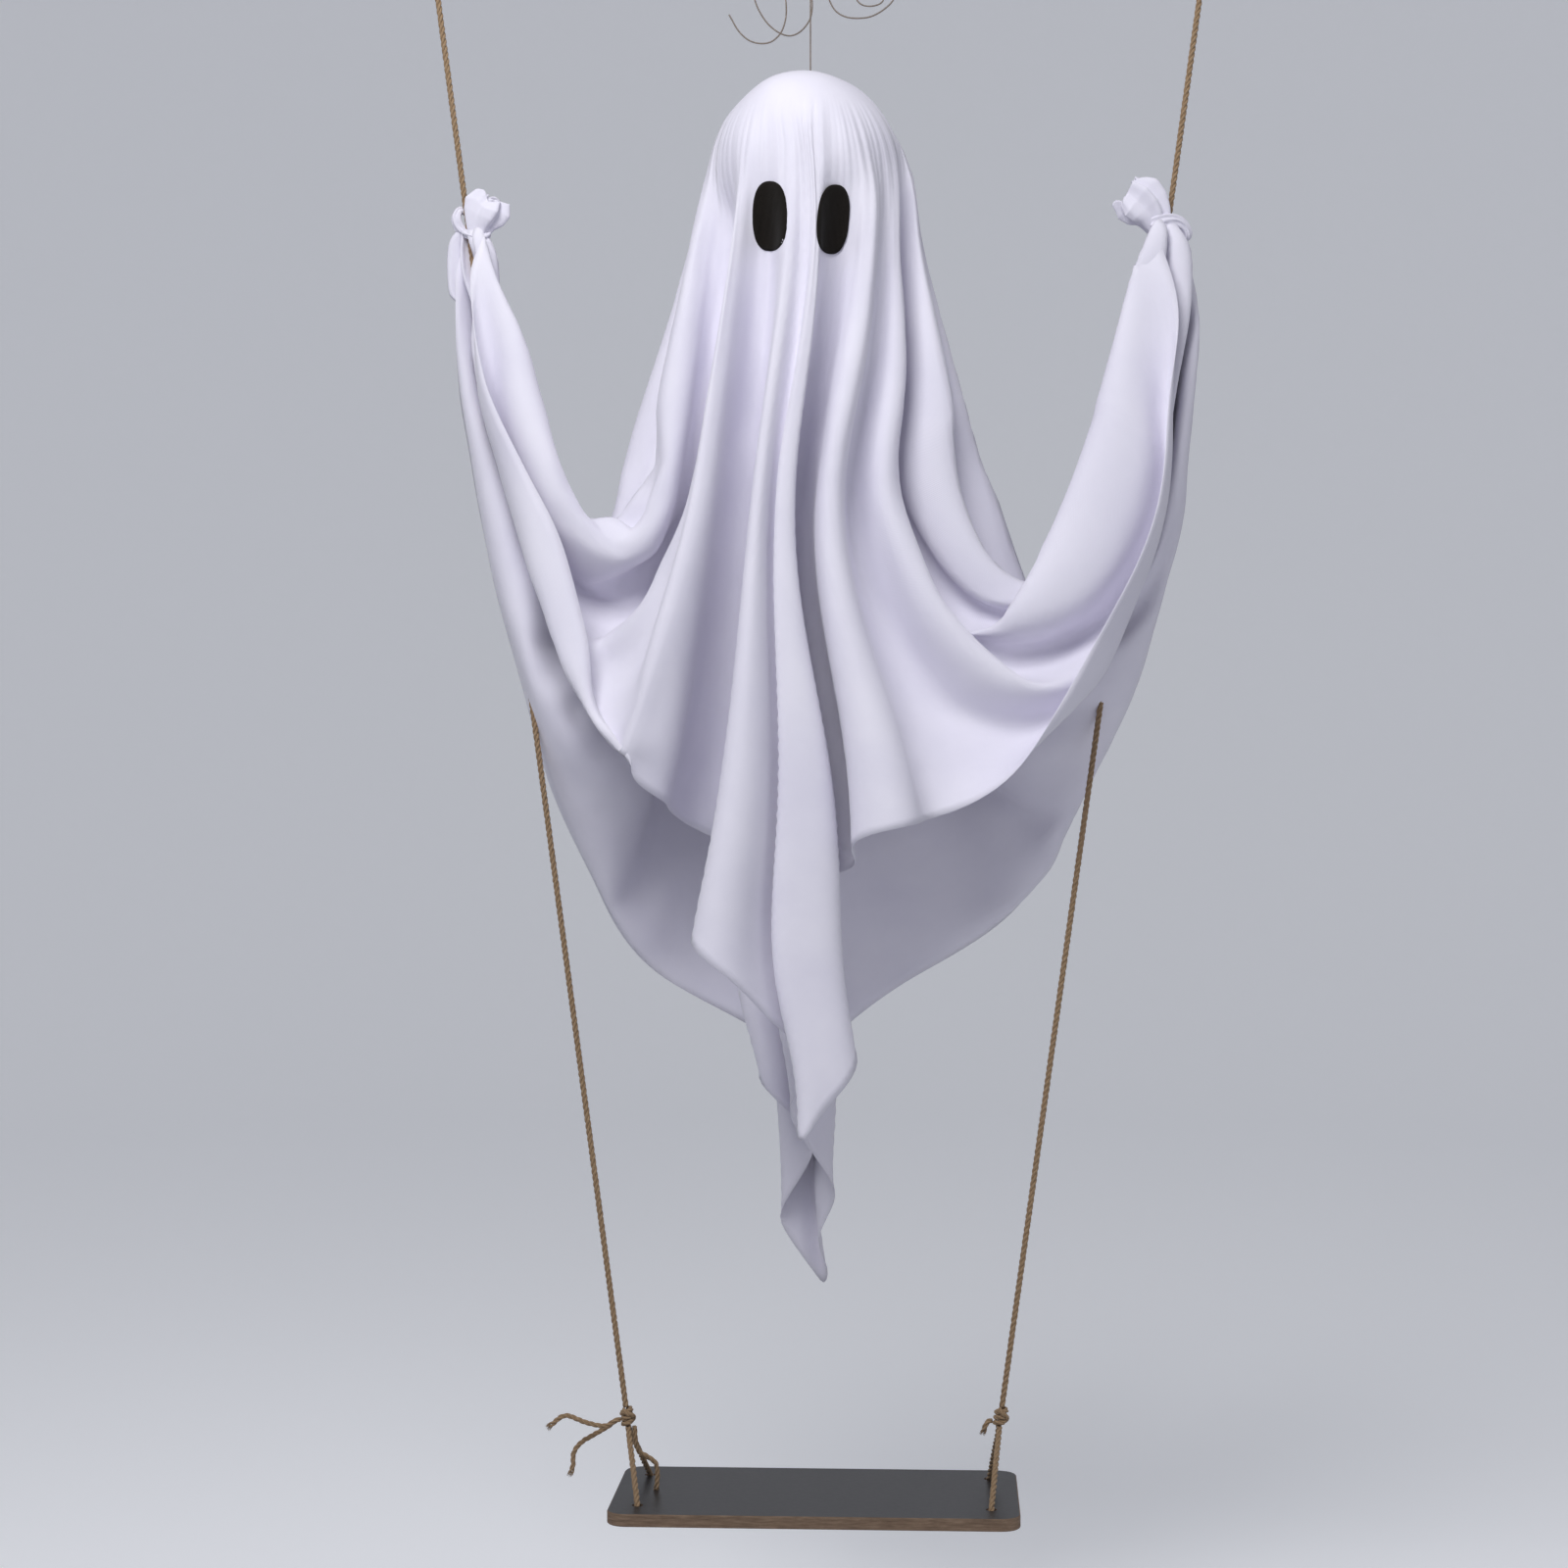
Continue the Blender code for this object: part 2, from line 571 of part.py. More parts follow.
def hand_parts(side):
    """Centre offset from the rope, radii and tilt of each rounded part of a hand's knot."""
    if side == "left":
        return [((0.0055, 0.001, -0.001), (0.0140, 0.0125, 0.0130), 0.0),
                ((-0.0070, 0.004, 0.0140), (0.0090, 0.0080, 0.0120), 0.2),
                ((0.0130, -0.004, 0.0190), (0.0095, 0.0075, 0.0210), -0.15),
                ((0.0220, 0.001, 0.0180), (0.0085, 0.0080, 0.0230), 0.55),
                ((0.0250, 0.003, 0.0260), (0.0110, 0.0070, 0.0120), 1.0),
                ((-0.0120, 0.008, -0.0290), (0.0080, 0.0040, 0.0400), -0.05)]
    return [((-0.0070, 0.001, -0.001), (0.0150, 0.0125, 0.0130), 0.0),
            ((0.0040, -0.001, -0.0050), (0.0180, 0.0095, 0.0085), 0.6),
            ((-0.0170, -0.002, 0.0260), (0.0120, 0.0085, 0.0270), -0.3),
            ((-0.0330, 0.002, 0.0270), (0.0130, 0.0080, 0.0290), -0.75),
            ((-0.0310, -0.001, 0.0390), (0.0180, 0.0090, 0.0140), -1.2),
            ((-0.0450, 0.003, 0.0260), (0.0080, 0.0060, 0.0180), -0.3)]


def build_sheet(finish):
    """The sheet with its two knotted corners, its rope channels and the line's hole."""
    sheet = add("sheet", sheet_mesh(), finish)
    cloth = sheet.modifiers.new("cloth_thickness", "SOLIDIFY")
    cloth.thickness = SHEET_THICKNESS
    cloth.offset = -1.0
    for side, values in SIDES.items():
        knot = rope_at(side, values["hand"])
        for number, (offset, radii, tilt) in enumerate(hand_parts(side)):
            bm = bmesh.new()
            lump(bm, knot + Vector(offset), radii, tilt)
            mesh = bpy.data.meshes.new("lump")
            bm.to_mesh(mesh)
            bm.free()
            combine(sheet, f"hand_{side}_{number}", mesh, "UNION")
        reach = values["along"] * 0.070
        channel = cylinder_mesh("channel", ROPE_RADIUS + CHANNEL_GAP, knot - reach, knot + reach)
        combine(sheet, f"channel_{side}", channel, "DIFFERENCE")
    crown = cylinder_mesh("crown", BALL_HOLE_RADIUS, (0, 0, HEAD.z + HEAD_RADIUS * 0.5),
                          (0, 0, HEAD.z + HEAD_RADIUS * 1.2), 12)
    combine(sheet, "crown_hole", crown, "DIFFERENCE")
    shade(sheet, 60)
    return sheet


def front_depth(x, z):
    """The front layer's distance from the ropes' plane on the face."""
    return body_depth(x, z, FRONT_LEAN)


def build_eye(name, x, tilt, finish):
    """A flat oval that follows the face, a little in front of it."""
    count = 28
    centre_x = BALL_X + x
    centre_z = -BALL_DROP - EYE_DROP
    bm = bmesh.new()

    def place(share, k, lift):
        angle = 2 * math.pi * k / count
        squareness = 0.80
        along_x = math.copysign(abs(math.cos(angle)) ** squareness, math.cos(angle))
        along_z = math.copysign(abs(math.sin(angle)) ** squareness, math.sin(angle))
        dx = share * EYE_HALF_WIDTH * along_x
        dz = share * EYE_HALF_HEIGHT * along_z
        px = centre_x + dx * math.cos(tilt) - dz * math.sin(tilt)
        pz = centre_z + dx * math.sin(tilt) + dz * math.cos(tilt)
        return bm.verts.new((px, -front_depth(px, pz) - lift, pz))

    layers = []
    for lift in (CHANNEL_GAP, CHANNEL_GAP + EYE_THICKNESS):
        middle = bm.verts.new((centre_x, -front_depth(centre_x, centre_z) - lift, centre_z))
        inner = [place(0.55, k, lift) for k in range(count)]
        outer = [place(1.0, k, lift) for k in range(count)]
        layers.append((middle, inner, outer))
    for k in range(count):
        n = (k + 1) % count
        for (middle, inner, outer), flip in zip(layers, (True, False)):
            quads = [[inner[k], outer[k], outer[n], inner[n]], [middle, inner[k], inner[n]]]
            for face in quads:
                bm.faces.new(face[::-1] if flip else face)
        back, front = layers[0][2], layers[1][2]
        bm.faces.new([front[k], back[k], back[n], front[n]])
    bmesh.ops.recalc_face_normals(bm, faces=bm.faces)
    mesh = bpy.data.meshes.new(name)
    bm.to_mesh(mesh)
    bm.free()
    eye = add(name, mesh, finish)
    shade(eye)
    return eye


def ball_mesh(name, radius, rings, segments):
    """A closed sphere about its own origin."""
    bm = bmesh.new()
    bmesh.ops.create_uvsphere(bm, u_segments=segments, v_segments=rings, radius=radius)
    mesh = bpy.data.meshes.new(name)
    bm.to_mesh(mesh)
    bm.free()
    return mesh


def build_head(foam, wood, cord):
    """The foam ball, the line that carries it and the button under it."""
    ball = add("head_ball", ball_mesh("head_ball", BALL_RADIUS, 12, 20), foam)
    ball.location = HEAD
    bore = cylinder_mesh("bore", BALL_HOLE_RADIUS, (0, 0, -BALL_DROP - 1.3 * BALL_RADIUS),
                         (0, 0, -BALL_DROP + 1.3 * BALL_RADIUS), 12)
    combine(ball, "ball_bore", bore, "DIFFERENCE")
    shade(ball)

    foot = -BALL_DROP - math.sqrt(BALL_RADIUS ** 2 - BALL_X ** 2)
    button_top = foot - FIT_GAP
    button_mesh = cylinder_mesh("line_button", BUTTON_RADIUS, (0, 0, button_top - BUTTON_THICKNESS),
                                (0, 0, button_top), 24)
    button = add("line_button", button_mesh, wood)
    hole = cylinder_mesh("hole", LINE_RADIUS + CHANNEL_GAP,
                         (0, 0, button_top - 2 * BUTTON_THICKNESS),
                         (0, 0, button_top + BUTTON_THICKNESS), 12)
    combine(button, "button_hole", hole, "DIFFERENCE")
    shade(button)

    hook = Vector((0, 0, -HOOK_DROP))
    down = Vector((0, 0, -1))
    route = eye_route(hook, down, HOOK_WIRE_RADIUS, LINE_RADIUS, LINE_EYE_LENGTH)
    tube("head_line_eye", route, LINE_RADIUS, cord)
    knot_z = -HOOK_DROP - LINE_EYE_LENGTH - FIT_GAP - LINE_KNOT_RADIUS
    upper_knot = add("head_line_knot", ball_mesh("head_line_knot", LINE_KNOT_RADIUS, 6, 10), cord)
    upper_knot.location = (0, 0, knot_z)
    shade(upper_knot)
    stop_z = button_top - BUTTON_THICKNESS - FIT_GAP - LINE_KNOT_RADIUS
    stop = add("head_line_stop", ball_mesh("head_line_stop", LINE_KNOT_RADIUS, 6, 10), cord)
    stop.location = (0, 0, stop_z)
    shade(stop)
    top = Vector((0, 0, knot_z - LINE_KNOT_RADIUS - FIT_GAP))
    end = Vector((0, 0, stop_z + LINE_KNOT_RADIUS + FIT_GAP))
    tube("head_line", [top.lerp(end, k / 30) for k in range(31)], LINE_RADIUS, cord)

    knot = Vector((0, 0, knot_z))
    grip = LINE_KNOT_RADIUS + FIT_GAP
    left_curl = [(-grip, 0.0, 0.0), (-0.0065, -0.0040, -0.0030), (-0.0040, -0.0110, -0.0130),
                 (0.0010, -0.0140, -0.0300), (0.0000, -0.0140, -0.0520), (-0.0090, -0.0100, -0.0640),
                 (-0.0190, -0.0040, -0.0672), (-0.0300, 0.0020, -0.0630),
                 (-0.0435, 0.0080, -0.0500), (-0.0545, 0.0110, -0.0260),
                 (-0.0510, 0.0100, -0.0060), (-0.0400, 0.0040, 0.0010),
                 (-0.0290, -0.0030, -0.0110), (-0.0240, -0.0080, -0.0340),
                 (-0.0240, -0.0100, -0.0520), (-0.0290, -0.0090, -0.0660),
                 (-0.0380, -0.0060, -0.0735), (-0.0480, -0.0030, -0.0745),
                 (-0.0590, 0.0000, -0.0710), (-0.0690, 0.0020, -0.0620),
                 (-0.0790, 0.0030, -0.0450)]
    right_curl = [(grip, 0.0, 0.0), (0.0080, 0.0030, -0.0030), (0.0150, 0.0080, -0.0150),
                  (0.0190, 0.0110, -0.0300), (0.0250, 0.0100, -0.0400),
                  (0.0340, 0.0070, -0.0460), (0.0450, 0.0030, -0.0485),
                  (0.0580, -0.0010, -0.0480), (0.0700, -0.0040, -0.0425),
                  (0.0800, -0.0050, -0.0330), (0.0850, -0.0040, -0.0190),
                  (0.0800, -0.0010, -0.0060), (0.0660, 0.0030, -0.0010),
                  (0.0510, 0.0060, -0.0090), (0.0440, 0.0070, -0.0260),
                  (0.0490, 0.0060, -0.0340), (0.0590, 0.0040, -0.0365),
                  (0.0690, 0.0020, -0.0335), (0.0730, 0.0010, -0.0250)]
    for name, route in (("head_line_curl_left", left_curl), ("head_line_curl_right", right_curl)):
        tube(name, smooth([knot + Vector(p) for p in route], 2), LINE_RADIUS, cord)


def build():
    """Make every piece."""
    steel = material("zinc_steel", (0.55, 0.55, 0.56), 0.35, 1.0)
    jute = material("jute", (0.42, 0.28, 0.16), 0.95)
    fabric = material("white_jersey", (0.86, 0.85, 0.92), 0.80)
    felt = material("black_felt", (0.012, 0.011, 0.010), 0.90)
    foam = material("white_foam", (0.90, 0.90, 0.88), 0.70)
    wood = material("birch", (0.62, 0.45, 0.28), 0.60)
    cord = material("line", (0.30, 0.27, 0.25), 0.45)
    board = material("black_board", (0.015, 0.014, 0.013), 0.55)
    build_hook("hook_centre", 0.0, steel)
    build_hook("hook_left", LEFT_HOOK_X, steel)
    build_hook("hook_right", RIGHT_HOOK_X, steel)
    build_ropes(jute)
    build_seat(board)
    build_head(foam, wood, cord)
    build_sheet(fabric)
    build_eye("eye_left", LEFT_EYE_X, 0.0, felt)
    build_eye("eye_right", RIGHT_EYE_X, RIGHT_EYE_TILT, felt)


for old in list(bpy.data.objects):
    bpy.data.objects.remove(old)
build()
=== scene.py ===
"""Looks of the hanging fabric ghost: a draped jersey sheet, twisted jute rope, felt eyes, a board.

Metres, +Z up, -Y is the front. The origin is the middle of the centre ceiling plate's top face.
"""

import math

import bmesh
import bpy
import numpy as np
from mathutils import Matrix, Vector
from mathutils.bvhtree import BVHTree


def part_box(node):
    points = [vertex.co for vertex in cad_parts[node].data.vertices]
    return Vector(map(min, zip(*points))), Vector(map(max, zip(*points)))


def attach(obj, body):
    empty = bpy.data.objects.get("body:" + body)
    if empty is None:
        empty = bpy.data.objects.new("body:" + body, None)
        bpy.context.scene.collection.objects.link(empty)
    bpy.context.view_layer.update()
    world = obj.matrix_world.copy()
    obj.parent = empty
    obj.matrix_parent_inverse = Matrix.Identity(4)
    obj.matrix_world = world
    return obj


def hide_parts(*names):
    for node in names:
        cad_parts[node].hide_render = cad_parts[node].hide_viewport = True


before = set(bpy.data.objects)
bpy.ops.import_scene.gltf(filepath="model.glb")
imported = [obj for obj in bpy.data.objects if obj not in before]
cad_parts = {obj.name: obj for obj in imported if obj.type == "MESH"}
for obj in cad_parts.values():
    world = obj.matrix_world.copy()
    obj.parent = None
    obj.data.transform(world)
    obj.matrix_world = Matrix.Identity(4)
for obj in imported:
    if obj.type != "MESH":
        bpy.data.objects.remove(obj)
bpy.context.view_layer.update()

# View: the camera looks level along +Y, and one pixel of the picture is PIXEL at the ropes' plane
PICTURE = 1600
PIXEL = 0.00095
CAMERA_DISTANCE = 2.9
VIEW_X = -0.02565
VIEW_Z = -0.835
SENSOR = 36.0

# Ceiling hooks
PLATE_RADIUS = 0.020
PLATE_THICKNESS = 0.003
SCREW_OFFSET = 0.0135
SCREW_HEAD_RADIUS = 0.0038
HOOK_WIRE_RADIUS = 0.00175
HOOK_BEND_RADIUS = 0.009
HOOK_DROP = 0.030
HOOK_TIP_RISE = 0.004
PLATE_RIM = 0.0006
HOOKS_X = {"hook_left": -0.3670, "hook_centre": 0.0, "hook_right": 0.3833}

# Ropes
ROPE_RADIUS = 0.003
FIT_GAP = 0.0003
KNOT_CORE = 0.0037
TOP_KNOT_TURNS = 2
SEAT_KNOT_TURNS = 3
EYE_LENGTH = 0.024
TAIL_RADIUS = 0.85 * ROPE_RADIUS
ROPE_LAY = 0.019
STRANDS = 3
STRAND_SHARE = 0.50
STRAND_SIDES = 8
STEPS_PER_LAY = 15
HAIR_REACH = (0.0010, 0.0020)
BRUSH_FIBRES = 60

# Seat board
SEAT_DROP = 1.521
SEAT_X = 0.006
SEAT_TURN = math.radians(-3.0)
SEAT_THICKNESS = 0.012
SEAT_HOLE_X = 0.168
SEAT_HOLE_Y = 0.063
BRIDLE_HEIGHT = 0.073

# Head
BALL = Vector((-0.0043, 0, -0.2374))
LINE_RADIUS = 0.00075
LINE_EYE_LENGTH = 0.011
LINE_KNOT_RADIUS = 0.0022
PEAK_RISE = 0.005
PEAK_RADIUS = 0.012
BALL_CLEARANCE = 0.0905

# Eyes as seen in the ropes' plane: centre, half width, half height, tilt
EYES = {
    "eye_left": ((-0.0395, -0.2845), 0.0167, 0.0340, 0.0),
    "eye_right": ((0.0218, -0.2876), 0.0155, 0.0338, math.radians(-5.0)),
}
EYE_THICKNESS = 0.0012
EYE_SQUARENESS = 0.82
EYE_RINGS = 10
EYE_SIDES = 48

# The sheet's cut, a square hung by two opposite corners
SHEET_SIDE = 1.59
SHEET_THICKNESS = 0.0006
LEFT_TIE = 0.20
RIGHT_TIE = 0.21
SHEET_FORWARD = 0.078
CELLS = 80
DRAPE_FRAMES = 120
GATHER_FRAMES = 45
HANDS = {-1: Vector((-0.3300, -0.004, -0.3000)), 1: Vector((0.3450, -0.004, -0.2910))}
# A hand's folds: points to a fold, the bundle's radius (smaller where the mesh is coarse), its
# width and length in radii, and how far it rises and falls
HAND_TURN = math.radians(45)
POINTS_PER_FOLD = 6
COARSE_COUNT = 12
HAND_RADIUS = 0.013
COARSE_HAND_RADIUS = 0.010
FOLD_WIDTH = 0.8
FOLD_LENGTH = 1.4
FOLD_RISE = 0.004
# Directions of the folds down the body and their half width, in degrees round the head; -90 is
# the front
FOLD_ANGLES = (-64, -92, -120, 60, 118)
FOLD_SPREAD = 7.0
FOLD_START = 0.05
START_RISE = 0.0915
FORM_RADIUS = 0.0845
JERSEY_CLOTH = {
    "quality": 6, "mass": 0.3, "air_damping": 3, "tension_stiffness": 20,
    "compression_stiffness": 20, "shear_stiffness": 3.0, "bending_stiffness": 0.05,
    "tension_damping": 8, "compression_damping": 8, "shear_damping": 8, "bending_damping": 0.8,
}
JERSEY_TOUCH = {
    "distance_min": 0.004, "collision_quality": 2, "use_self_collision": True,
    "self_distance_min": 0.002, "self_friction": 3,
}
# After the fall: one round of easing, and below its knot the left rope hides behind the arm's
# front fold
EASING = 0.25
COVER_TOP = 0.012
COVER_TOP_FADE = 0.025
COVER_LOW = -0.53
COVER_LOW_FADE = 0.07
COVER_SHIFT = 0.011
COVER_REACH = 0.032
FRONT_FOLD_DEPTH = 0.012
FRONT_FOLD_FADE = 0.006
ROPE_SPLIT = 0.008
ROPE_ROOM = 0.0075
ROOM_REACH = 0.6 * COVER_REACH

# Outline of the real sheet as seen in the ropes' plane: height, left, right
BODY_EDGES = [(-0.170, -0.0665, 0.0580), (-0.1985, -0.0874, 0.0779), (-0.2365, -0.1007, 0.0922),
              (-0.303, -0.1188, 0.1111), (-0.379, -0.1397, 0.1301), (-0.455, -0.1625, 0.1473),
              (-0.531, -0.1853, 0.1777)]
LEFT_ARM_EDGES = [(-0.341, -0.3335, -0.2945), (-0.379, -0.3363, -0.2822),
                  (-0.455, -0.3344, -0.2622), (-0.531, -0.3278, -0.2356)]
RIGHT_ARM_EDGES = [(-0.341, 0.3078, 0.3743), (-0.379, 0.2964, 0.3791),
                   (-0.455, 0.2746, 0.3743), (-0.531, 0.2556, 0.3658)]
LOWER_EDGES = [(-0.645, -0.3059, 0.3449), (-0.740, -0.2793, 0.3192), (-0.835, -0.2537, 0.2736),
               (-0.930, -0.2090, 0.2309), (-1.025, -0.1425, 0.0979), (-1.120, -0.0523, 0.0427),
               (-1.215, -0.0295, 0.0228)]
LEFT_CROTCH = (-0.2070, -0.569)
RIGHT_CROTCH = (0.2166, -0.5975)
BACK_TIP = (0.0143, -1.3252)
# Where a gap between body and arm is looked for, in steps of LEVEL_STEP, at least CROTCH_AWAY
# from the head's middle; narrower slits than SLIT in the cloth don't count
CROTCH_HEIGHTS = (-0.42, -0.68)
LEVEL_STEP = 0.004
CROTCH_AWAY = 0.10
SLIT = 0.006
WARP_SOFTNESS = 2e-4

# Stage: a round floor that curves up into a wall
FLOOR_Z = -1.72
FLOOR_RADIUS = 5.0
RIM_RADIUS = 2.5
WALL_HEIGHT = 4.2
PAPER_GLOW = 0.22

# Lamps: place, size, power and the point each is aimed at; then the world
LAMPS = {
    "key": ((-0.60, -1.60, 0.95), 1.1, 40, (0, 0, -0.50)),
    "fill": ((2.2, -1.8, 0.0), 1.6, 8, (0, 0, -0.7)),
}
WORLD_COLOUR = (0.9, 0.92, 1.0, 1.0)
WORLD_STRENGTH = 0.30

rng = np.random.default_rng(7)


# Shared helpers

def linked(name, data):
    """A new object in the scene."""
    made = bpy.data.objects.new(name, data)
    bpy.context.scene.collection.objects.link(made)
    return made


def add(name, mesh, finish, body):
    """Link a piece, give it its material and let it ride on a CAD body."""
    made = linked(name, mesh)
    made.data.materials.append(finish)
    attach(made, body)
    return made


def thicken(piece, thickness, offset):
    """Give a surface its thickness; offset 0 is to both sides."""
    solid = piece.modifiers.new("thickness", "SOLIDIFY")
    solid.thickness = thickness
    solid.offset = offset


def smooth(points, steps):
    """Points on a smooth curve that passes through the given ones, however they are spaced."""
    points = [Vector(p) for p in points]
    ends = [2 * points[0] - points[1], *points, 2 * points[-1] - points[-2]]
    path = []
    for a, b, c, d in zip(ends, ends[1:], ends[2:], ends[3:]):
        t1 = math.sqrt((b - a).length)
        t2 = t1 + math.sqrt((c - b).length)
        t3 = t2 + math.sqrt((d - c).length)
        for k in range(steps):
            t = t1 + (t2 - t1) * k / steps
            ab = a.lerp(b, t / t1)
            bc = b.lerp(c, (t - t1) / (t2 - t1))
            cd = c.lerp(d, (t - t2) / (t3 - t2))
            path.append(ab.lerp(bc, t / t2).lerp(bc.lerp(cd, (t - t1) / (t3 - t1)),
                                                 (t - t1) / (t2 - t1)))
    path.append(points[-1])
    return path


def distances(path):
    """How far along a path each of its points lies."""
    return np.concatenate([[0], np.cumsum(np.linalg.norm(np.diff(path, axis=0), axis=1))])


def directions(path):
    """The unit tangent at each point of a path."""
    tangent = np.gradient(path, axis=0)
    return tangent / np.linalg.norm(tangent, axis=1)[:, None]


def resample(points, step):
    """A path again, with points about a step apart."""
    points = np.array([tuple(p) for p in points], float)
    along = distances(points)
    at = np.linspace(0, along[-1], max(4, math.ceil(along[-1] / step) + 1))
    return np.stack([np.interp(at, along, points[:, k]) for k in range(3)], axis=1)


def carried_frame(path):
    """Two normals along a path that turn as little as they can."""
    tangent = directions(path)
    first = np.cross(tangent[0], (0.31, 0.95, 0.07))
    normals = [first / np.linalg.norm(first)]
    for t in tangent[1:]:
        n = normals[-1] - t * (normals[-1] @ t)
        normals.append(n / np.linalg.norm(n))
    normals = np.array(normals)
    return normals, np.cross(tangent, normals)


class Soup:
    """Rings of points gathered into one mesh, with flat coordinates for the weave."""

    def __init__(self):
        self.verts = []
        self.faces = []
        self.flat = []

    def grid(self, rows, flat, closed):
        """A surface through rows of points; closed joins each row's ends."""
        base, columns = len(self.verts), len(rows[0])
        self.verts += [tuple(point) for row in rows for point in row]
        self.flat += flat
        for i in range(len(rows) - 1):
            a = base + i * columns
            for k in range(columns if closed else columns - 1):
                n = (k + 1) % columns
                self.faces.append((a + k, a + n, a + columns + n, a + columns + k))
        return base

    def tube(self, path, radii, sides, bumps=None):
        """A capped tube round a path; bumps scales its radius at each ring and side."""
        across, up = carried_frame(path)
        turn = np.linspace(0, 2 * math.pi, sides, endpoint=False)
        radii = np.broadcast_to(radii, len(path))[:, None]
        if bumps is not None:
            radii = radii * bumps
        ring = (path[:, None]
                + (radii * np.cos(turn))[..., None] * across[:, None]
                + (radii * np.sin(turn))[..., None] * up[:, None])
        flat = [(k / sides, s) for s in distances(path) for k in range(sides)]
        base = self.grid(ring, flat, closed=True)
        last = base + (len(path) - 1) * sides
        self.faces.append(tuple(base + k for k in reversed(range(sides))))
        self.faces.append(tuple(last + k for k in range(sides)))

    def mesh(self, name):
        """The mesh, shaded smooth, with its flat coordinates as a UV map."""
        mesh = bpy.data.meshes.new(name)
        mesh.from_pydata(self.verts, [], self.faces)
        layer = mesh.uv_layers.new(name="flat")
        index = np.zeros(len(mesh.loops), np.int32)
        mesh.loops.foreach_get("vertex_index", index)
        layer.uv.foreach_set("vector", np.array(self.flat, np.float32)[index].ravel())
        mesh.shade_smooth()
        mesh.update()
        return mesh


# Materials

EVEN = (1, 1, 1)
# Fine folds of the jersey: how many to a radian round the crown, where the dome ends, how far
# from the crown they reach
FOLDS_PER_RADIAN = 9.0
DOME_EDGE = (0.075, 0.125)
FOLDS_REACH = (0.10, 0.80)


def new_material(name, colour, roughness, metallic=0.0, sheen=0.0):
    """A Principled material whose plain values sit on its own sockets."""
    made = bpy.data.materials.new(name)
    made.use_nodes = True
    shader = shader_of(made)
    shader.inputs["Base Color"].default_value = (*colour, 1.0)
    shader.inputs["Roughness"].default_value = roughness
    shader.inputs["Metallic"].default_value = metallic
    shader.inputs["Sheen Weight"].default_value = sheen
    return made


def shader_of(made):
    """The Principled shader of a material."""
    return made.node_tree.nodes["Principled BSDF"]


def node(made, kind, **values):
    """A node of a material, with its properties and inputs set by name."""
    added = made.node_tree.nodes.new(kind)
    for name, value in values.items():
        if name in added.inputs:
            added.inputs[name].default_value = value
        else:
            setattr(added, name, value)
    return added


def wire(made, output, target):
    """Link one socket to another."""
    made.node_tree.links.new(output, target)


def coordinates(made, output, scale, turn=0.0):
    """Scaled coordinates; output is UV or Object."""
    source = node(made, "ShaderNodeTexCoord")
    mapping = node(made, "ShaderNodeMapping")
    mapping.inputs["Scale"].default_value = scale
    mapping.inputs["Rotation"].default_value = (0, 0, turn)
    wire(made, source.outputs[output], mapping.inputs["Vector"])
    return mapping.outputs["Vector"]


def noise_of(made, vector, scale, detail=3.0, roughness=0.5):
    """A noise texture's value."""
    texture = node(made, "ShaderNodeTexNoise", Scale=scale, Detail=detail, Roughness=roughness)
    wire(made, vector, texture.inputs["Vector"])
    return texture.outputs["Fac"]


def ramp_of(made, value, stops):
    """A colour ramp over a value."""
    ramp = node(made, "ShaderNodeValToRGB")
    elements = ramp.color_ramp.elements
    while len(elements) < len(stops):
        elements.new(0.5)
    for element, (place, colour) in zip(elements, stops):
        element.position = place
        element.color = (*colour, 1.0)
    wire(made, value, ramp.inputs["Fac"])
    return ramp.outputs["Color"]


def bump(made, height, strength, distance, below=None):
    """A bump on the shader, on top of one below it if given."""
    added = node(made, "ShaderNodeBump", Strength=strength, Distance=distance)
    wire(made, height, added.inputs["Height"])
    if below is not None:
        wire(made, below, added.inputs["Normal"])
    wire(made, added.outputs["Normal"], shader_of(made).inputs["Normal"])
    return added.outputs["Normal"]


def base_colour(made, colour):
    """Link a colour to the shader."""
    wire(made, colour, shader_of(made).inputs["Base Color"])


def maths(made, operation, *values):
    """A Math node over sockets and plain numbers."""
    added = node(made, "ShaderNodeMath", operation=operation)
    for socket, value in zip(added.inputs, values):
        if isinstance(value, bpy.types.NodeSocket):
            wire(made, value, socket)
        else:
            socket.default_value = value
    return added.outputs[0]


def remapped(made, value, source, target=(0.0, 1.0), kind="LINEAR"):
    """A value carried from one range into another."""
    added = node(made, "ShaderNodeMapRange", interpolation_type=kind,
                 **{"From Min": source[0], "From Max": source[1],
                    "To Min": target[0], "To Max": target[1]})
    wire(made, value, added.inputs["Value"])
    return added.outputs["Result"]


def soft_folds(made):
    """Shallow folds that run down from the crown and fade in below the dome."""
    flat = node(made, "ShaderNodeTexCoord").outputs["UV"]
    split = node(made, "ShaderNodeSeparateXYZ")
    wire(made, flat, split.inputs["Vector"])
    angle = maths(made, "ARCTAN2", split.outputs["Y"], split.outputs["X"])
    measure = node(made, "ShaderNodeVectorMath", operation="LENGTH")
    wire(made, flat, measure.inputs[0])
    reach = measure.outputs["Value"]
    place = node(made, "ShaderNodeCombineXYZ")
    wire(made, maths(made, "MULTIPLY", angle, FOLDS_PER_RADIAN), place.inputs["X"])
    wire(made, reach, place.inputs["Y"])
    folds = node(made, "ShaderNodeTexNoise", noise_dimensions="2D", Scale=1.0, Detail=1.0)
    wire(made, place.outputs["Vector"], folds.inputs["Vector"])
    fade_in = remapped(made, reach, DOME_EDGE, kind="SMOOTHSTEP")
    spread = remapped(made, reach, FOLDS_REACH, (1.0, 0.30))
    return maths(made, "MULTIPLY", maths(made, "MULTIPLY", folds.outputs["Fac"], fade_in), spread)


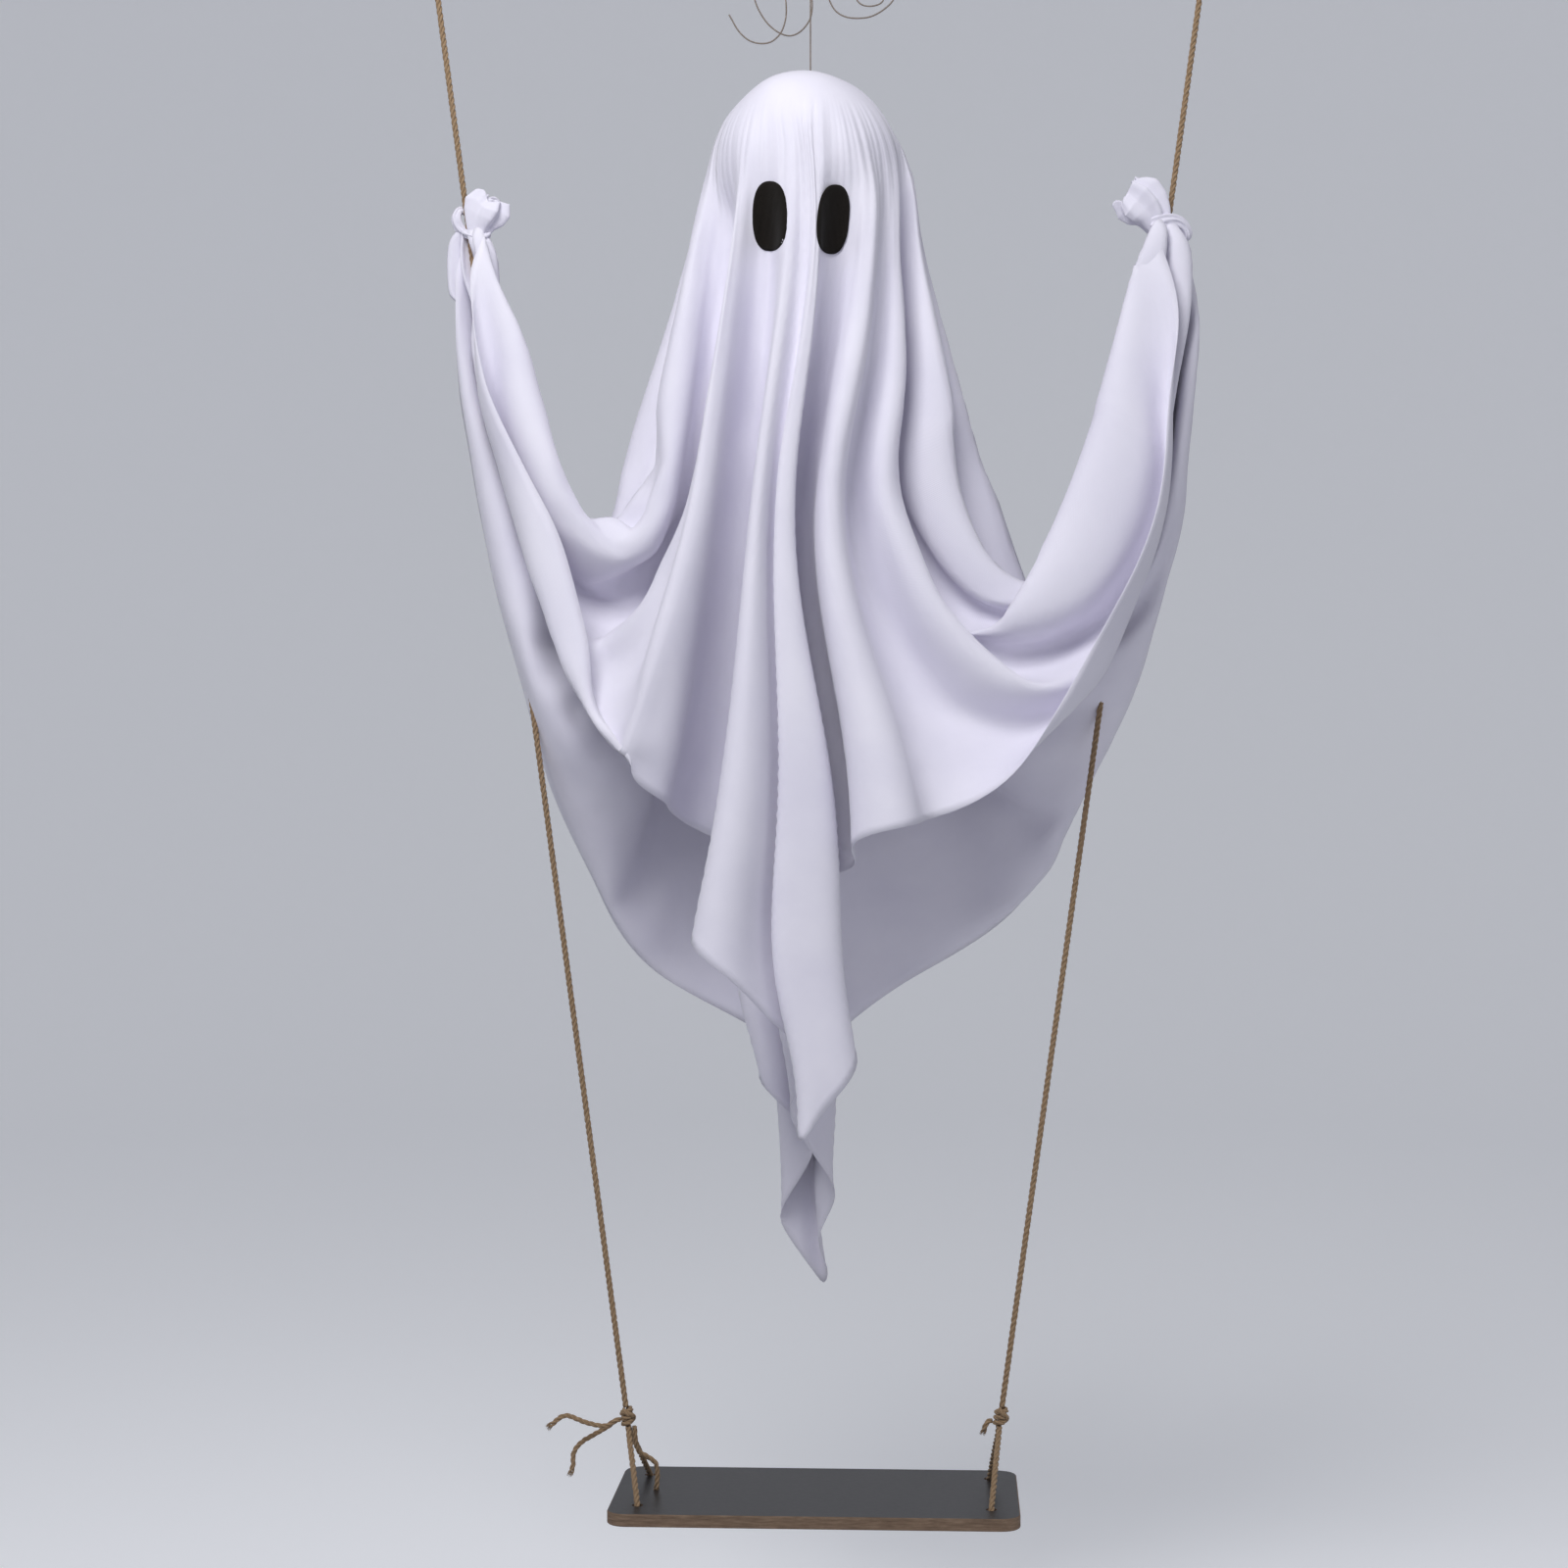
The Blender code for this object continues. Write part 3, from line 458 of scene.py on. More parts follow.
def mottled(name, colour, roughness, place, grain, stops, relief, metallic=0.0, sheen=0.0):
    """A finish whose colour and bump follow one noise; place is its coordinates and their scale."""
    made = new_material(name, colour, roughness, metallic, sheen)
    value = noise_of(made, coordinates(made, *place), *grain)
    base_colour(made, ramp_of(made, value, stops))
    bump(made, value, *relief)
    return made


def jersey_material():
    """White stretch jersey with a lavender cast: soft folds, fine wales and a light sheen."""
    made = new_material("white_jersey", (0.80, 0.78, 0.88), 0.78, sheen=0.25)
    shader = shader_of(made)
    shader.inputs["Sheen Roughness"].default_value = 0.45
    shader.inputs["Specular IOR Level"].default_value = 0.25
    cloth = coordinates(made, "UV", EVEN, math.radians(45))
    cloudy = noise_of(made, cloth, 9.0, 4.0, 0.55)
    base_colour(made, ramp_of(made, cloudy, [(0.30, (0.755, 0.735, 0.845)),
                                             (0.70, (0.825, 0.805, 0.900))]))
    wales = node(made, "ShaderNodeTexWave", Scale=340.0, Distortion=0.6, Detail=1.0)
    wire(made, cloth, wales.inputs["Vector"])
    courses = node(made, "ShaderNodeTexWave", Scale=260.0, Distortion=0.8, bands_direction="Y")
    wire(made, cloth, courses.inputs["Vector"])
    crinkle = noise_of(made, cloth, 55.0, 5.0, 0.6)
    below = bump(made, soft_folds(made), 0.85, 0.0060)
    below = bump(made, crinkle, 0.22, 0.0010, below)
    below = bump(made, wales.outputs["Fac"], 0.25, 0.00025, below)
    bump(made, courses.outputs["Fac"], 0.15, 0.0002, below)
    return made


def jute_material():
    """Natural jute: pale and dark fibres that run along each strand."""
    return mottled("jute", (0.38, 0.25, 0.14), 0.88, ("UV", (34.0, 260.0, 1.0)), (1.0, 5.0, 0.65),
                   [(0.28, (0.12, 0.070, 0.036)), (0.50, (0.30, 0.195, 0.108)),
                    (0.72, (0.54, 0.400, 0.250))], (0.6, 0.0005), sheen=0.15)


def felt_material():
    """Black felt with a short matted nap."""
    made = mottled("black_felt", (0.008, 0.006, 0.005), 0.95, ("Object", EVEN), (900.0, 6.0, 0.7),
                   [(0.35, (0.004, 0.003, 0.002)), (0.70, (0.014, 0.011, 0.009))],
                   (0.5, 0.0005), sheen=0.03)
    shader_of(made).inputs["Specular IOR Level"].default_value = 0.2
    return made


def steel_material():
    """Zinc-plated steel with a faint cloudy spangle."""
    return mottled("zinc_steel", (0.60, 0.60, 0.61), 0.34, ("Object", EVEN), (180.0, 3.0),
                   [(0.35, (0.50, 0.50, 0.51)), (0.65, (0.68, 0.68, 0.68))],
                   (0.12, 0.0003), metallic=1.0)


def line_material():
    """Thin braided nylon, greyish brown with bright glints."""
    made = new_material("line", (0.30, 0.27, 0.25), 0.32)
    braid = node(made, "ShaderNodeTexWave", Scale=420.0, Distortion=1.5, Detail=2.0)
    wire(made, coordinates(made, "Object", EVEN), braid.inputs["Vector"])
    base_colour(made, ramp_of(made, braid.outputs["Fac"], [(0.2, (0.075, 0.055, 0.042)),
                                                           (0.8, (0.30, 0.24, 0.20))]))
    bump(made, braid.outputs["Fac"], 0.4, 0.0003)
    return made


def foam_material():
    """White beaded foam: each bead is a cell of the bump."""
    made = new_material("white_foam", (0.90, 0.90, 0.88), 0.62)
    beads = node(made, "ShaderNodeTexVoronoi", Scale=260.0)
    wire(made, coordinates(made, "Object", EVEN), beads.inputs["Vector"])
    # Each bead's colour darkens towards its edge: painted shade in the grooves between the beads.
    base_colour(made, ramp_of(made, beads.outputs["Distance"], [(0.0, (0.90, 0.90, 0.88)),
                                                                (1.0, (0.74, 0.74, 0.73))]))
    bump(made, beads.outputs["Distance"], 0.5, 0.0008)
    return made


def birch_material():
    """Plain birch with fine grain."""
    return mottled("birch", (0.62, 0.45, 0.28), 0.55, ("Object", (30.0, 700.0, 700.0)), (1.0, 4.0),
                   [(0.3, (0.50, 0.34, 0.20)), (0.7, (0.68, 0.50, 0.32))], (0.3, 0.0003))


def board_material():
    """A board with satin black faces and bare brown edges, told apart by the way they face."""
    made = new_material("black_board", (0.015, 0.014, 0.013), 0.42)
    shader = shader_of(made)
    split = node(made, "ShaderNodeSeparateXYZ")
    wire(made, node(made, "ShaderNodeTexCoord").outputs["Normal"], split.inputs["Vector"])
    faces_up = maths(made, "GREATER_THAN", maths(made, "ABSOLUTE", split.outputs["Z"]), 0.9)
    fibres = noise_of(made, coordinates(made, "Object", (60.0, 60.0, 520.0)), 1.0, 5.0, 0.65)
    brown = ramp_of(made, fibres, [(0.30, (0.105, 0.066, 0.042)), (0.55, (0.185, 0.122, 0.080)),
                                   (0.78, (0.270, 0.190, 0.130))])
    grain = noise_of(made, coordinates(made, "Object", (220.0, 220.0, 220.0)), 1.0, 4.0, 0.6)
    black = ramp_of(made, grain, [(0.35, (0.010, 0.009, 0.009)), (0.70, (0.024, 0.022, 0.021))])
    mixed = node(made, "ShaderNodeMix", data_type="RGBA")
    wire(made, faces_up, mixed.inputs["Factor"])
    wire(made, brown, mixed.inputs[6])
    wire(made, black, mixed.inputs[7])
    wire(made, mixed.outputs[2], shader.inputs["Base Color"])
    wire(made, remapped(made, faces_up, (0.0, 1.0), (0.80, 0.40)), shader.inputs["Roughness"])
    bump(made, grain, 0.25, 0.0003)
    return made


JERSEY = jersey_material()
JUTE = jute_material()
FELT = felt_material()
STEEL = steel_material()
LINE = line_material()


# Camera

def make_camera():
    """A level camera whose frame is the photograph's."""
    camera = linked("camera", bpy.data.cameras.new("camera"))
    camera.data.sensor_width = SENSOR
    camera.data.lens = SENSOR * CAMERA_DISTANCE / (PICTURE * PIXEL)
    camera.data.clip_start = 0.05
    camera.data.clip_end = 50.0
    camera.location = (VIEW_X, -CAMERA_DISTANCE, VIEW_Z)
    camera.rotation_euler = (math.pi / 2, 0, 0)
    bpy.context.scene.camera = camera


def seen(points):
    """Where points appear in the ropes' plane, as seen from the camera."""
    near = CAMERA_DISTANCE / (CAMERA_DISTANCE + points[:, 1])
    return np.stack([VIEW_X + (points[:, 0] - VIEW_X) * near,
                     VIEW_Z + (points[:, 2] - VIEW_Z) * near], axis=1)


make_camera()


# Cords

SIDES = {
    "left": {"hook": Vector((HOOKS_X["hook_left"], 0, -HOOK_DROP)),
             "knot": Vector((-0.1777, 0, BRIDLE_HEIGHT - SEAT_DROP)), "sign": -1},
    "right": {"hook": Vector((HOOKS_X["hook_right"], 0, -HOOK_DROP)),
              "knot": Vector((0.1843, 0, BRIDLE_HEIGHT - SEAT_DROP)), "sign": 1},
}
for values in SIDES.values():
    values["along"] = (values["knot"] - values["hook"]).normalized()


def twisted(name, points, radius, hairs, fray=0.0):
    """Rope of three twisted strands with loose fibres; its far end may start to open out."""
    path = resample(points, ROPE_LAY / STEPS_PER_LAY)
    across, up = carried_frame(path)
    along = distances(path)
    fat = STRAND_SHARE * radius
    opened = np.clip((along - along[-1] + fray) / fray, 0, 1) ** 2 if fray else 0 * along
    soup = Soup()
    for strand in range(STRANDS):
        turn = 2 * math.pi * (along / ROPE_LAY + strand / STRANDS)
        out = (radius - fat) * (1 + 0.9 * opened)
        centre = (path + (out * np.cos(turn))[:, None] * across
                  + (out * np.sin(turn))[:, None] * up)
        thick = fat * (1 + 0.06 * np.sin(along * 900 + 2 * strand)) * (1 - 0.45 * opened)
        soup.tube(centre, thick, STRAND_SIDES)
    for _ in range(hairs):
        place = rng.integers(2, len(path) - 2)
        turn = rng.uniform(0, 2 * math.pi)
        outward = math.cos(turn) * across[place] + math.sin(turn) * up[place]
        forward = (path[place + 1] - path[place - 1]) * rng.choice((-1, 1))
        forward /= np.linalg.norm(forward)
        reach = rng.uniform(*HAIR_REACH)
        start = path[place] + outward * radius * 0.85
        bend = start + outward * reach * 0.4 + forward * reach * 0.8
        tip = bend + outward * reach * 0.5 + forward * reach * rng.uniform(0.2, 1.2)
        soup.tube(np.array([start, bend, tip]), np.array([0.00008, 0.00006, 0.00002]), 3)
    return add(name, soup.mesh(name), JUTE, "ghost")


def frayed_end(name, points, radius):
    """Fibres that stand out of a rope's cut end like a brush."""
    path = resample(points, 0.001)
    across, up = carried_frame(path)
    forward = path[-1] - path[-4]
    forward /= np.linalg.norm(forward)
    soup = Soup()
    for _ in range(BRUSH_FIBRES):
        turn = rng.uniform(0, 2 * math.pi)
        outward = math.cos(turn) * across[-1] + math.sin(turn) * up[-1]
        start = path[-1] - forward * 0.001 + outward * radius * rng.uniform(0.1, 0.95)
        tip = start + forward * rng.uniform(0.002, 0.006) + outward * rng.uniform(0, HAIR_REACH[1])
        middle = (start + tip) / 2 + outward * 0.0003
        soup.tube(np.array([start, middle, tip]), np.array([0.00016, 0.00012, 0.00005]), 4)
    return add(name, soup.mesh(name), JUTE, "ghost")


def knot_path(centre, along, turns, core):
    """Turns round a rope, then a last one that crosses them aslant."""
    length = 2 * ROPE_RADIUS * turns
    axis = along
    side = Vector((0, 1, 0))
    other = axis.cross(side).normalized()
    side = other.cross(axis).normalized()
    points = []
    count = 10 * turns
    for k in range(count + 1):
        share = k / count
        turn = 2 * math.pi * turns * share
        height = (share - 0.5) * length * 0.86
        points.append(centre + axis * height
                      + (side * math.cos(turn) + other * math.sin(turn)) * core)
    for k in range(1, 8):
        share = k / 7
        turn = 2 * math.pi * (turns + 0.62 * share)
        height = (0.43 - 0.86 * share) * length
        lift = core + 0.0016 * math.sin(math.pi * share)
        points.append(centre + axis * height
                      + (side * math.cos(turn) + other * math.sin(turn)) * lift)
    return smooth(points, 2)


def eye_route(hook, along, wire_radius, cord_radius, length):
    """A loop of cord over the hook's wire, whose two legs end side by side."""
    reach = wire_radius + FIT_GAP + cord_radius
    leg = cord_radius + FIT_GAP / 2
    side = Vector((0, 1, 0))
    down = [(-leg, length), (-leg, length * 0.8), (-reach * 0.93, length * 0.42),
            (-reach * 1.02, length * 0.16)]
    bend = reach * 1.03
    over = [(bend * math.sin(math.radians(a)), -bend * math.cos(math.radians(a)))
            for a in range(-90, 91, 30)]
    up = [(-y, s) for y, s in reversed(down)]
    return smooth([hook + side * y + along * s for y, s in down + over + up], 4)


def seat_point(x, y, z):
    """A point of the seat board in the row's frame, z from its top face."""
    turned = Matrix.Rotation(SEAT_TURN, 3, "Z") @ Vector((x, y, 0))
    return Vector((SEAT_X + turned.x, turned.y, z - SEAT_DROP))


def bridle_route(values):
    """From the knot through the front hole, under the board and up through the back hole."""
    hole_x = SEAT_HOLE_X * values["sign"]
    along = values["along"]
    foot = values["knot"] + along * (ROPE_RADIUS * SEAT_KNOT_TURNS + FIT_GAP)
    under = -SEAT_THICKNESS - ROPE_RADIUS - FIT_GAP
    halves = []
    for sign in (-1, 1):
        start = foot + Vector((0, sign * (ROPE_RADIUS + FIT_GAP / 2), 0))
        bend = start + along * ROPE_RADIUS
        top = seat_point(hole_x, sign * SEAT_HOLE_Y, 0.0)
        leg = [start, bend, bend.lerp(top, 0.12) - Vector((0, 0, 0.0016)), bend.lerp(top, 0.35),
               bend.lerp(top, 0.7), bend.lerp(top, 0.92)]
        edge = [seat_point(hole_x, sign * (SEAT_HOLE_Y + 0.0010), -0.0010),
                seat_point(hole_x, sign * (SEAT_HOLE_Y + 0.0010), -SEAT_THICKNESS * 0.6),
                seat_point(hole_x, sign * (SEAT_HOLE_Y - 0.0004), -SEAT_THICKNESS),
                seat_point(hole_x, sign * (SEAT_HOLE_Y - 0.0020), under + 0.0008),
                seat_point(hole_x, sign * (SEAT_HOLE_Y - 0.0062), under - FIT_GAP),
                seat_point(hole_x, sign * (SEAT_HOLE_Y - 0.0200), under)]
        halves.append(leg + edge)
    return smooth(halves[0] + list(reversed(halves[1])), 6)


def tail_routes():
    """Loose rope ends beside the seat knots, as offsets from the knot's middle."""
    reach = KNOT_CORE + ROPE_RADIUS
    left = SIDES["left"]["knot"]
    right = SIDES["right"]["knot"]
    long_end = [(-reach + 0.0001, -0.0030, -0.0020), (-0.0115, -0.0036, -0.0034),
                (-0.0200, -0.0052, -0.0080), (-0.0330, -0.0060, -0.0064),
                (-0.0430, -0.0052, -0.0036), (-0.0600, -0.0040, 0.0016),
                (-0.0745, -0.0030, -0.0084)]
    low_end = [(-reach - 0.0002, 0.0025, -0.0030), (-0.0115, 0.0034, -0.0050),
               (-0.0190, 0.0054, -0.0110), (-0.0320, 0.0080, -0.0190),
               (-0.0460, 0.0090, -0.0280), (-0.0525, 0.0090, -0.0375),
               (-0.0530, 0.0080, -0.0490), (-0.0550, 0.0070, -0.0560)]
    foot = ROPE_RADIUS * SEAT_KNOT_TURNS + FIT_GAP
    board = BRIDLE_HEIGHT - 3 * FIT_GAP
    back_end = [(0.0073, 0.0, -foot), (0.0074, 0.0, -foot - ROPE_RADIUS),
                (0.0080, 0.0006, -0.0220), (0.0092, 0.0030, -0.0300), (0.0120, 0.0060, -0.0360),
                (0.0180, 0.0080, -0.0400), (0.0270, 0.0090, -0.0470), (0.0290, 0.0090, -0.0570),
                (0.0280, 0.0080, -board)]
    stub = [(-reach - 0.0014, 0.0010, -0.0040), (-0.0118, 0.0012, -0.0050),
            (-0.0148, 0.0012, -0.0098), (-0.0165, 0.0012, -0.0145)]
    return {
        "rope_left_tail_long": [left + Vector(p) for p in long_end],
        "rope_left_tail_low": [left + Vector(p) for p in low_end],
        "rope_left_tail_back": [left + Vector(p) for p in back_end],
        "rope_right_tail": [right + Vector(p) for p in stub],
    }


def make_ropes():
    """Each rope with its loop, knots, bridle and loose ends, all in the CAD's places."""
    top_length = 2 * ROPE_RADIUS * TOP_KNOT_TURNS
    seat_half = ROPE_RADIUS * SEAT_KNOT_TURNS
    tails = {name: resample(smooth(route, 8), 0.002) for name, route in tail_routes().items()}
    made = {name: twisted(name + "_jute", path, TAIL_RADIUS, hairs=30, fray=0.006)
            for name, path in tails.items()}
    brushes = {name: frayed_end(name + "_fray", path, TAIL_RADIUS) for name, path in tails.items()}
    for name, piece in made.items():
        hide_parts(name)
    for side, values in SIDES.items():
        hook, along = values["hook"], values["along"]
        name = f"rope_{side}"
        loop = twisted(name + "_loop", eye_route(hook, along, HOOK_WIRE_RADIUS, ROPE_RADIUS,
                                                 EYE_LENGTH), ROPE_RADIUS, hairs=20)
        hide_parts(name + "_eye")
        top = hook + along * (EYE_LENGTH + FIT_GAP + top_length / 2)
        top_knot = twisted(name + "_upper_knot", knot_path(top, along, TOP_KNOT_TURNS, 0.0043),
                           0.0025, hairs=20)
        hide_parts(name + "_top_knot")
        low_knot = twisted(name + "_lower_knot",
                           knot_path(values["knot"], along, SEAT_KNOT_TURNS, 0.0045),
                           0.0027, hairs=30)
        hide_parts(name + "_seat_knot")
        start = top + along * (top_length / 2 + FIT_GAP)
        end = values["knot"] - along * (seat_half + FIT_GAP)
        path = [start.lerp(end, k / 40) for k in range(41)]
        rope = twisted(name + "_jute", path, ROPE_RADIUS, hairs=520)
        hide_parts(name)
        pieces = [loop, top_knot, low_knot]
        if side == "right":
            pieces += [made["rope_right_tail"], brushes["rope_right_tail"]]
        route = bridle_route(values)
        bridle = twisted(name + "_bridle_jute", route, ROPE_RADIUS, hairs=110)
        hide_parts(name + "_bridle")
    for name in ("rope_left_tail_long", "rope_left_tail_low", "rope_left_tail_back"):
        path = tails[name]


CURLS = {
    "head_line_curl_left": [
        (-0.0065, -0.0040, -0.0030), (-0.0040, -0.0110, -0.0130), (0.0010, -0.0140, -0.0300),
        (0.0000, -0.0140, -0.0520), (-0.0090, -0.0100, -0.0640), (-0.0190, -0.0040, -0.0672),
        (-0.0300, 0.0020, -0.0630), (-0.0435, 0.0080, -0.0500), (-0.0545, 0.0110, -0.0260),
        (-0.0510, 0.0100, -0.0060), (-0.0400, 0.0040, 0.0010), (-0.0290, -0.0030, -0.0110),
        (-0.0240, -0.0080, -0.0340), (-0.0240, -0.0100, -0.0520), (-0.0290, -0.0090, -0.0660),
        (-0.0380, -0.0060, -0.0735), (-0.0480, -0.0030, -0.0745), (-0.0590, 0.0000, -0.0710),
        (-0.0690, 0.0020, -0.0620), (-0.0790, 0.0030, -0.0450)],
    "head_line_curl_right": [
        (0.0080, 0.0030, -0.0030), (0.0150, 0.0080, -0.0150), (0.0190, 0.0110, -0.0300),
        (0.0250, 0.0100, -0.0400), (0.0340, 0.0070, -0.0460), (0.0450, 0.0030, -0.0485),
        (0.0580, -0.0010, -0.0480), (0.0700, -0.0040, -0.0425), (0.0800, -0.0050, -0.0330),
        (0.0850, -0.0040, -0.0190), (0.0800, -0.0010, -0.0060), (0.0660, 0.0030, -0.0010),
        (0.0510, 0.0060, -0.0090), (0.0440, 0.0070, -0.0260), (0.0490, 0.0060, -0.0340),
        (0.0590, 0.0040, -0.0365), (0.0690, 0.0020, -0.0335), (0.0730, 0.0010, -0.0250)],
}


def line_tube(name, path):
    """A round length of the thin line."""
    soup = Soup()
    soup.tube(resample(path, 0.0012), LINE_RADIUS, 10)
    return add(name, soup.mesh(name), LINE, "ghost")


def make_head_line():
    """The line through the head, its loop and knots, and its two curled free ends."""
    knot_z = -HOOK_DROP - LINE_EYE_LENGTH - FIT_GAP - LINE_KNOT_RADIUS
    stop_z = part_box("head_line_stop")[1].z - LINE_KNOT_RADIUS
    top = Vector((0, 0, knot_z - LINE_KNOT_RADIUS - FIT_GAP))
    end = Vector((0, 0, stop_z + LINE_KNOT_RADIUS + FIT_GAP))
    loop = line_tube("line_loop", eye_route(Vector((0, 0, -HOOK_DROP)), Vector((0, 0, -1)),
                                            HOOK_WIRE_RADIUS, LINE_RADIUS, LINE_EYE_LENGTH))
    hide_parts("head_line_eye")
    for name, height in (("head_line_knot", knot_z), ("head_line_stop", stop_z)):
        core = LINE_KNOT_RADIUS - LINE_RADIUS
        points = [Vector((core * math.cos(0.9 * k), core * math.sin(0.9 * k) * 0.9,
                          height + core * 0.95 * math.sin(0.62 * k + 0.5))) for k in range(22)]
        knot = line_tube(name + "_turns", smooth(points, 4))
        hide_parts(name)
    path = [top.lerp(end, k / 60) for k in range(61)]
    line = line_tube("line", path)
    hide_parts("head_line")
    knot = Vector((0, 0, knot_z))
    for name, offsets in CURLS.items():
        grip = math.copysign(LINE_KNOT_RADIUS + FIT_GAP, offsets[0][0])
        route = [knot + Vector(p) for p in [(grip, 0.0, 0.0), *offsets]]
        path = smooth(route, 8)
        curl = line_tube(name + "_nylon", path)
        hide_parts(name)


make_ropes()
make_head_line()


# The sheet

def cut_sheet():
    """The flat square, turned on its corner, with its tied corners left off."""
    cell = SHEET_SIDE / CELLS
    half = SHEET_SIDE / math.sqrt(2)
    index, flat, faces = {}, [], []
    for i in range(CELLS + 1):
        for j in range(CELLS + 1):
            x = (i + j) * cell / math.sqrt(2) - half
            y = (j - i) * cell / math.sqrt(2) + SHEET_FORWARD
            if LEFT_TIE - half - 1e-6 <= x <= half - RIGHT_TIE + 1e-6:
                index[i, j] = len(flat)
                flat.append((x, y))
    for i in range(CELLS):
        for j in range(CELLS):
            corners = ((i, j), (i + 1, j), (i + 1, j + 1), (i, j + 1))
            have = [index[c] for c in corners if c in index]
            if len(have) >= 3:
                faces.append(have)
    return np.array(flat), faces, cell


def start_height(x, y):
    """The flat sheet's height before it falls: low waves that settle where folds begin."""
    angle = math.degrees(math.atan2(y, x))
    wave = 0.0
    for fold in FOLD_ANGLES:
        away = (angle - fold + 180) % 360 - 180
        wave += math.exp(-(away / FOLD_SPREAD) ** 2)
    return FOLD_START * wave * min(1.0, max(0.0, (math.hypot(x, y) - 0.1) / 0.3))


def gathered(count, sign):
    """Places of a tied corner's edge points inside its knot, folded to and fro."""
    waves = max(2, round(count / POINTS_PER_FOLD))
    radius = HAND_RADIUS if count > COARSE_COUNT else COARSE_HAND_RADIUS
    places = []
    for k in range(count):
        t = k / (count - 1)
        across = FOLD_WIDTH * radius * math.sin(2 * math.pi * waves * t)
        along = (2 * t - 1) * FOLD_LENGTH * radius
        places.append(Vector((sign * (along * math.sin(HAND_TURN) + across * math.cos(HAND_TURN)),
                              along * math.cos(HAND_TURN) - across * math.sin(HAND_TURN),
                              FOLD_RISE * math.cos(2 * math.pi * waves * t))))
    return places


def drape():
    """Let the flat sheet fall over the ball while its two corners are gathered into the hands."""
    flat, faces, cell = cut_sheet()
    top = BALL.z + START_RISE
    verts = [(x + BALL.x, y, top + start_height(x, y)) for x, y in flat]
    mesh = bpy.data.meshes.new("falling")
    mesh.from_pydata(verts, [], faces)
    cloth = linked("falling", mesh)
    order = np.argsort(flat[:, 1], kind="stable")
    left = [int(k) for k in order if flat[k, 0] < flat[:, 0].min() + 0.6 * cell]
    right = [int(k) for k in order if flat[k, 0] > flat[:, 0].max() - 0.6 * cell]
    crown = [k for k, (x, y) in enumerate(flat) if math.hypot(x, y) < 1.1 * cell]
    pins = cloth.vertex_groups.new(name="pins")
    pins.add(left + right + crown, 1.0, "REPLACE")
    cloth.shape_key_add(name="Basis")
    key = cloth.shape_key_add(name="gathered")
    for group, sign in ((left, -1), (right, 1)):
        for k, place in zip(group, gathered(len(group), sign)):
            key.data[k].co = HANDS[sign] + place
    key.value = 0.0
    key.keyframe_insert("value", frame=1)
    key.value = 1.0
    key.keyframe_insert("value", frame=GATHER_FRAMES)

    shape = bpy.data.meshes.new("form")
    bm = bmesh.new()
    bmesh.ops.create_icosphere(bm, subdivisions=4, radius=FORM_RADIUS)
    bm.to_mesh(shape)
    bm.free()
    form = linked("form", shape)
    form.location = BALL
    form.modifiers.new("collision", "COLLISION")
    form.collision.thickness_outer = 0.003
    form.collision.cloth_friction = 8

    fall = cloth.modifiers.new("cloth", "CLOTH")
    fall.settings.vertex_group_mass = "pins"
    for settings, values in ((fall.settings, JERSEY_CLOTH), (fall.collision_settings, JERSEY_TOUCH)):
        for name, value in values.items():
            setattr(settings, name, value)
    fall.point_cache.frame_start = 1
    fall.point_cache.frame_end = DRAPE_FRAMES
    scene = bpy.context.scene
    scene.frame_start = 1
    scene.frame_end = DRAPE_FRAMES
    for number in range(1, DRAPE_FRAMES + 1):
        scene.frame_set(number)
    fallen = cloth.evaluated_get(bpy.context.evaluated_depsgraph_get())
    places = np.array([v.co[:] for v in fallen.data.vertices])
    bpy.data.objects.remove(cloth)
    bpy.data.objects.remove(form)
    scene.frame_set(1)
    return places, flat, faces


def spans(view, corners, level):
    """The stretches that the cloth covers along one height of the view, from left to right."""
    quads = view[corners]
    following = np.roll(quads, -1, axis=1)
    below, above = quads[..., 1] <= level, following[..., 1] <= level
    rise = following[..., 1] - quads[..., 1]
    share = (level - quads[..., 1]) / np.where(np.abs(rise) < 1e-9, 1.0, rise)
    place = quads[..., 0] + share * (following[..., 0] - quads[..., 0])
    crossing = below != above
    touched = crossing.any(axis=1)
    low = np.where(crossing, place, np.inf).min(axis=1)[touched]
    high = np.where(crossing, place, -np.inf).max(axis=1)[touched]
    merged = []
    for a, b in sorted(zip(low, high)):
        if merged and a <= merged[-1][1] + SLIT:
            merged[-1][1] = max(merged[-1][1], b)
        else:
            merged.append([a, b])
    return merged


def crotch(view, corners, sign):
    """Where the gap between the body and an arm ends."""
    found = None
    for level in np.arange(*CROTCH_HEIGHTS, -LEVEL_STEP):
        stretches = spans(view, corners, level)
        gaps = [(a[1], b[0]) for a, b in zip(stretches, stretches[1:])
                if sign * ((a[1] + b[0]) / 2 - BALL.x) > CROTCH_AWAY]
        if not gaps:
            break
        found = (sum(gaps[0 if sign > 0 else -1]) / 2, level)
    return found


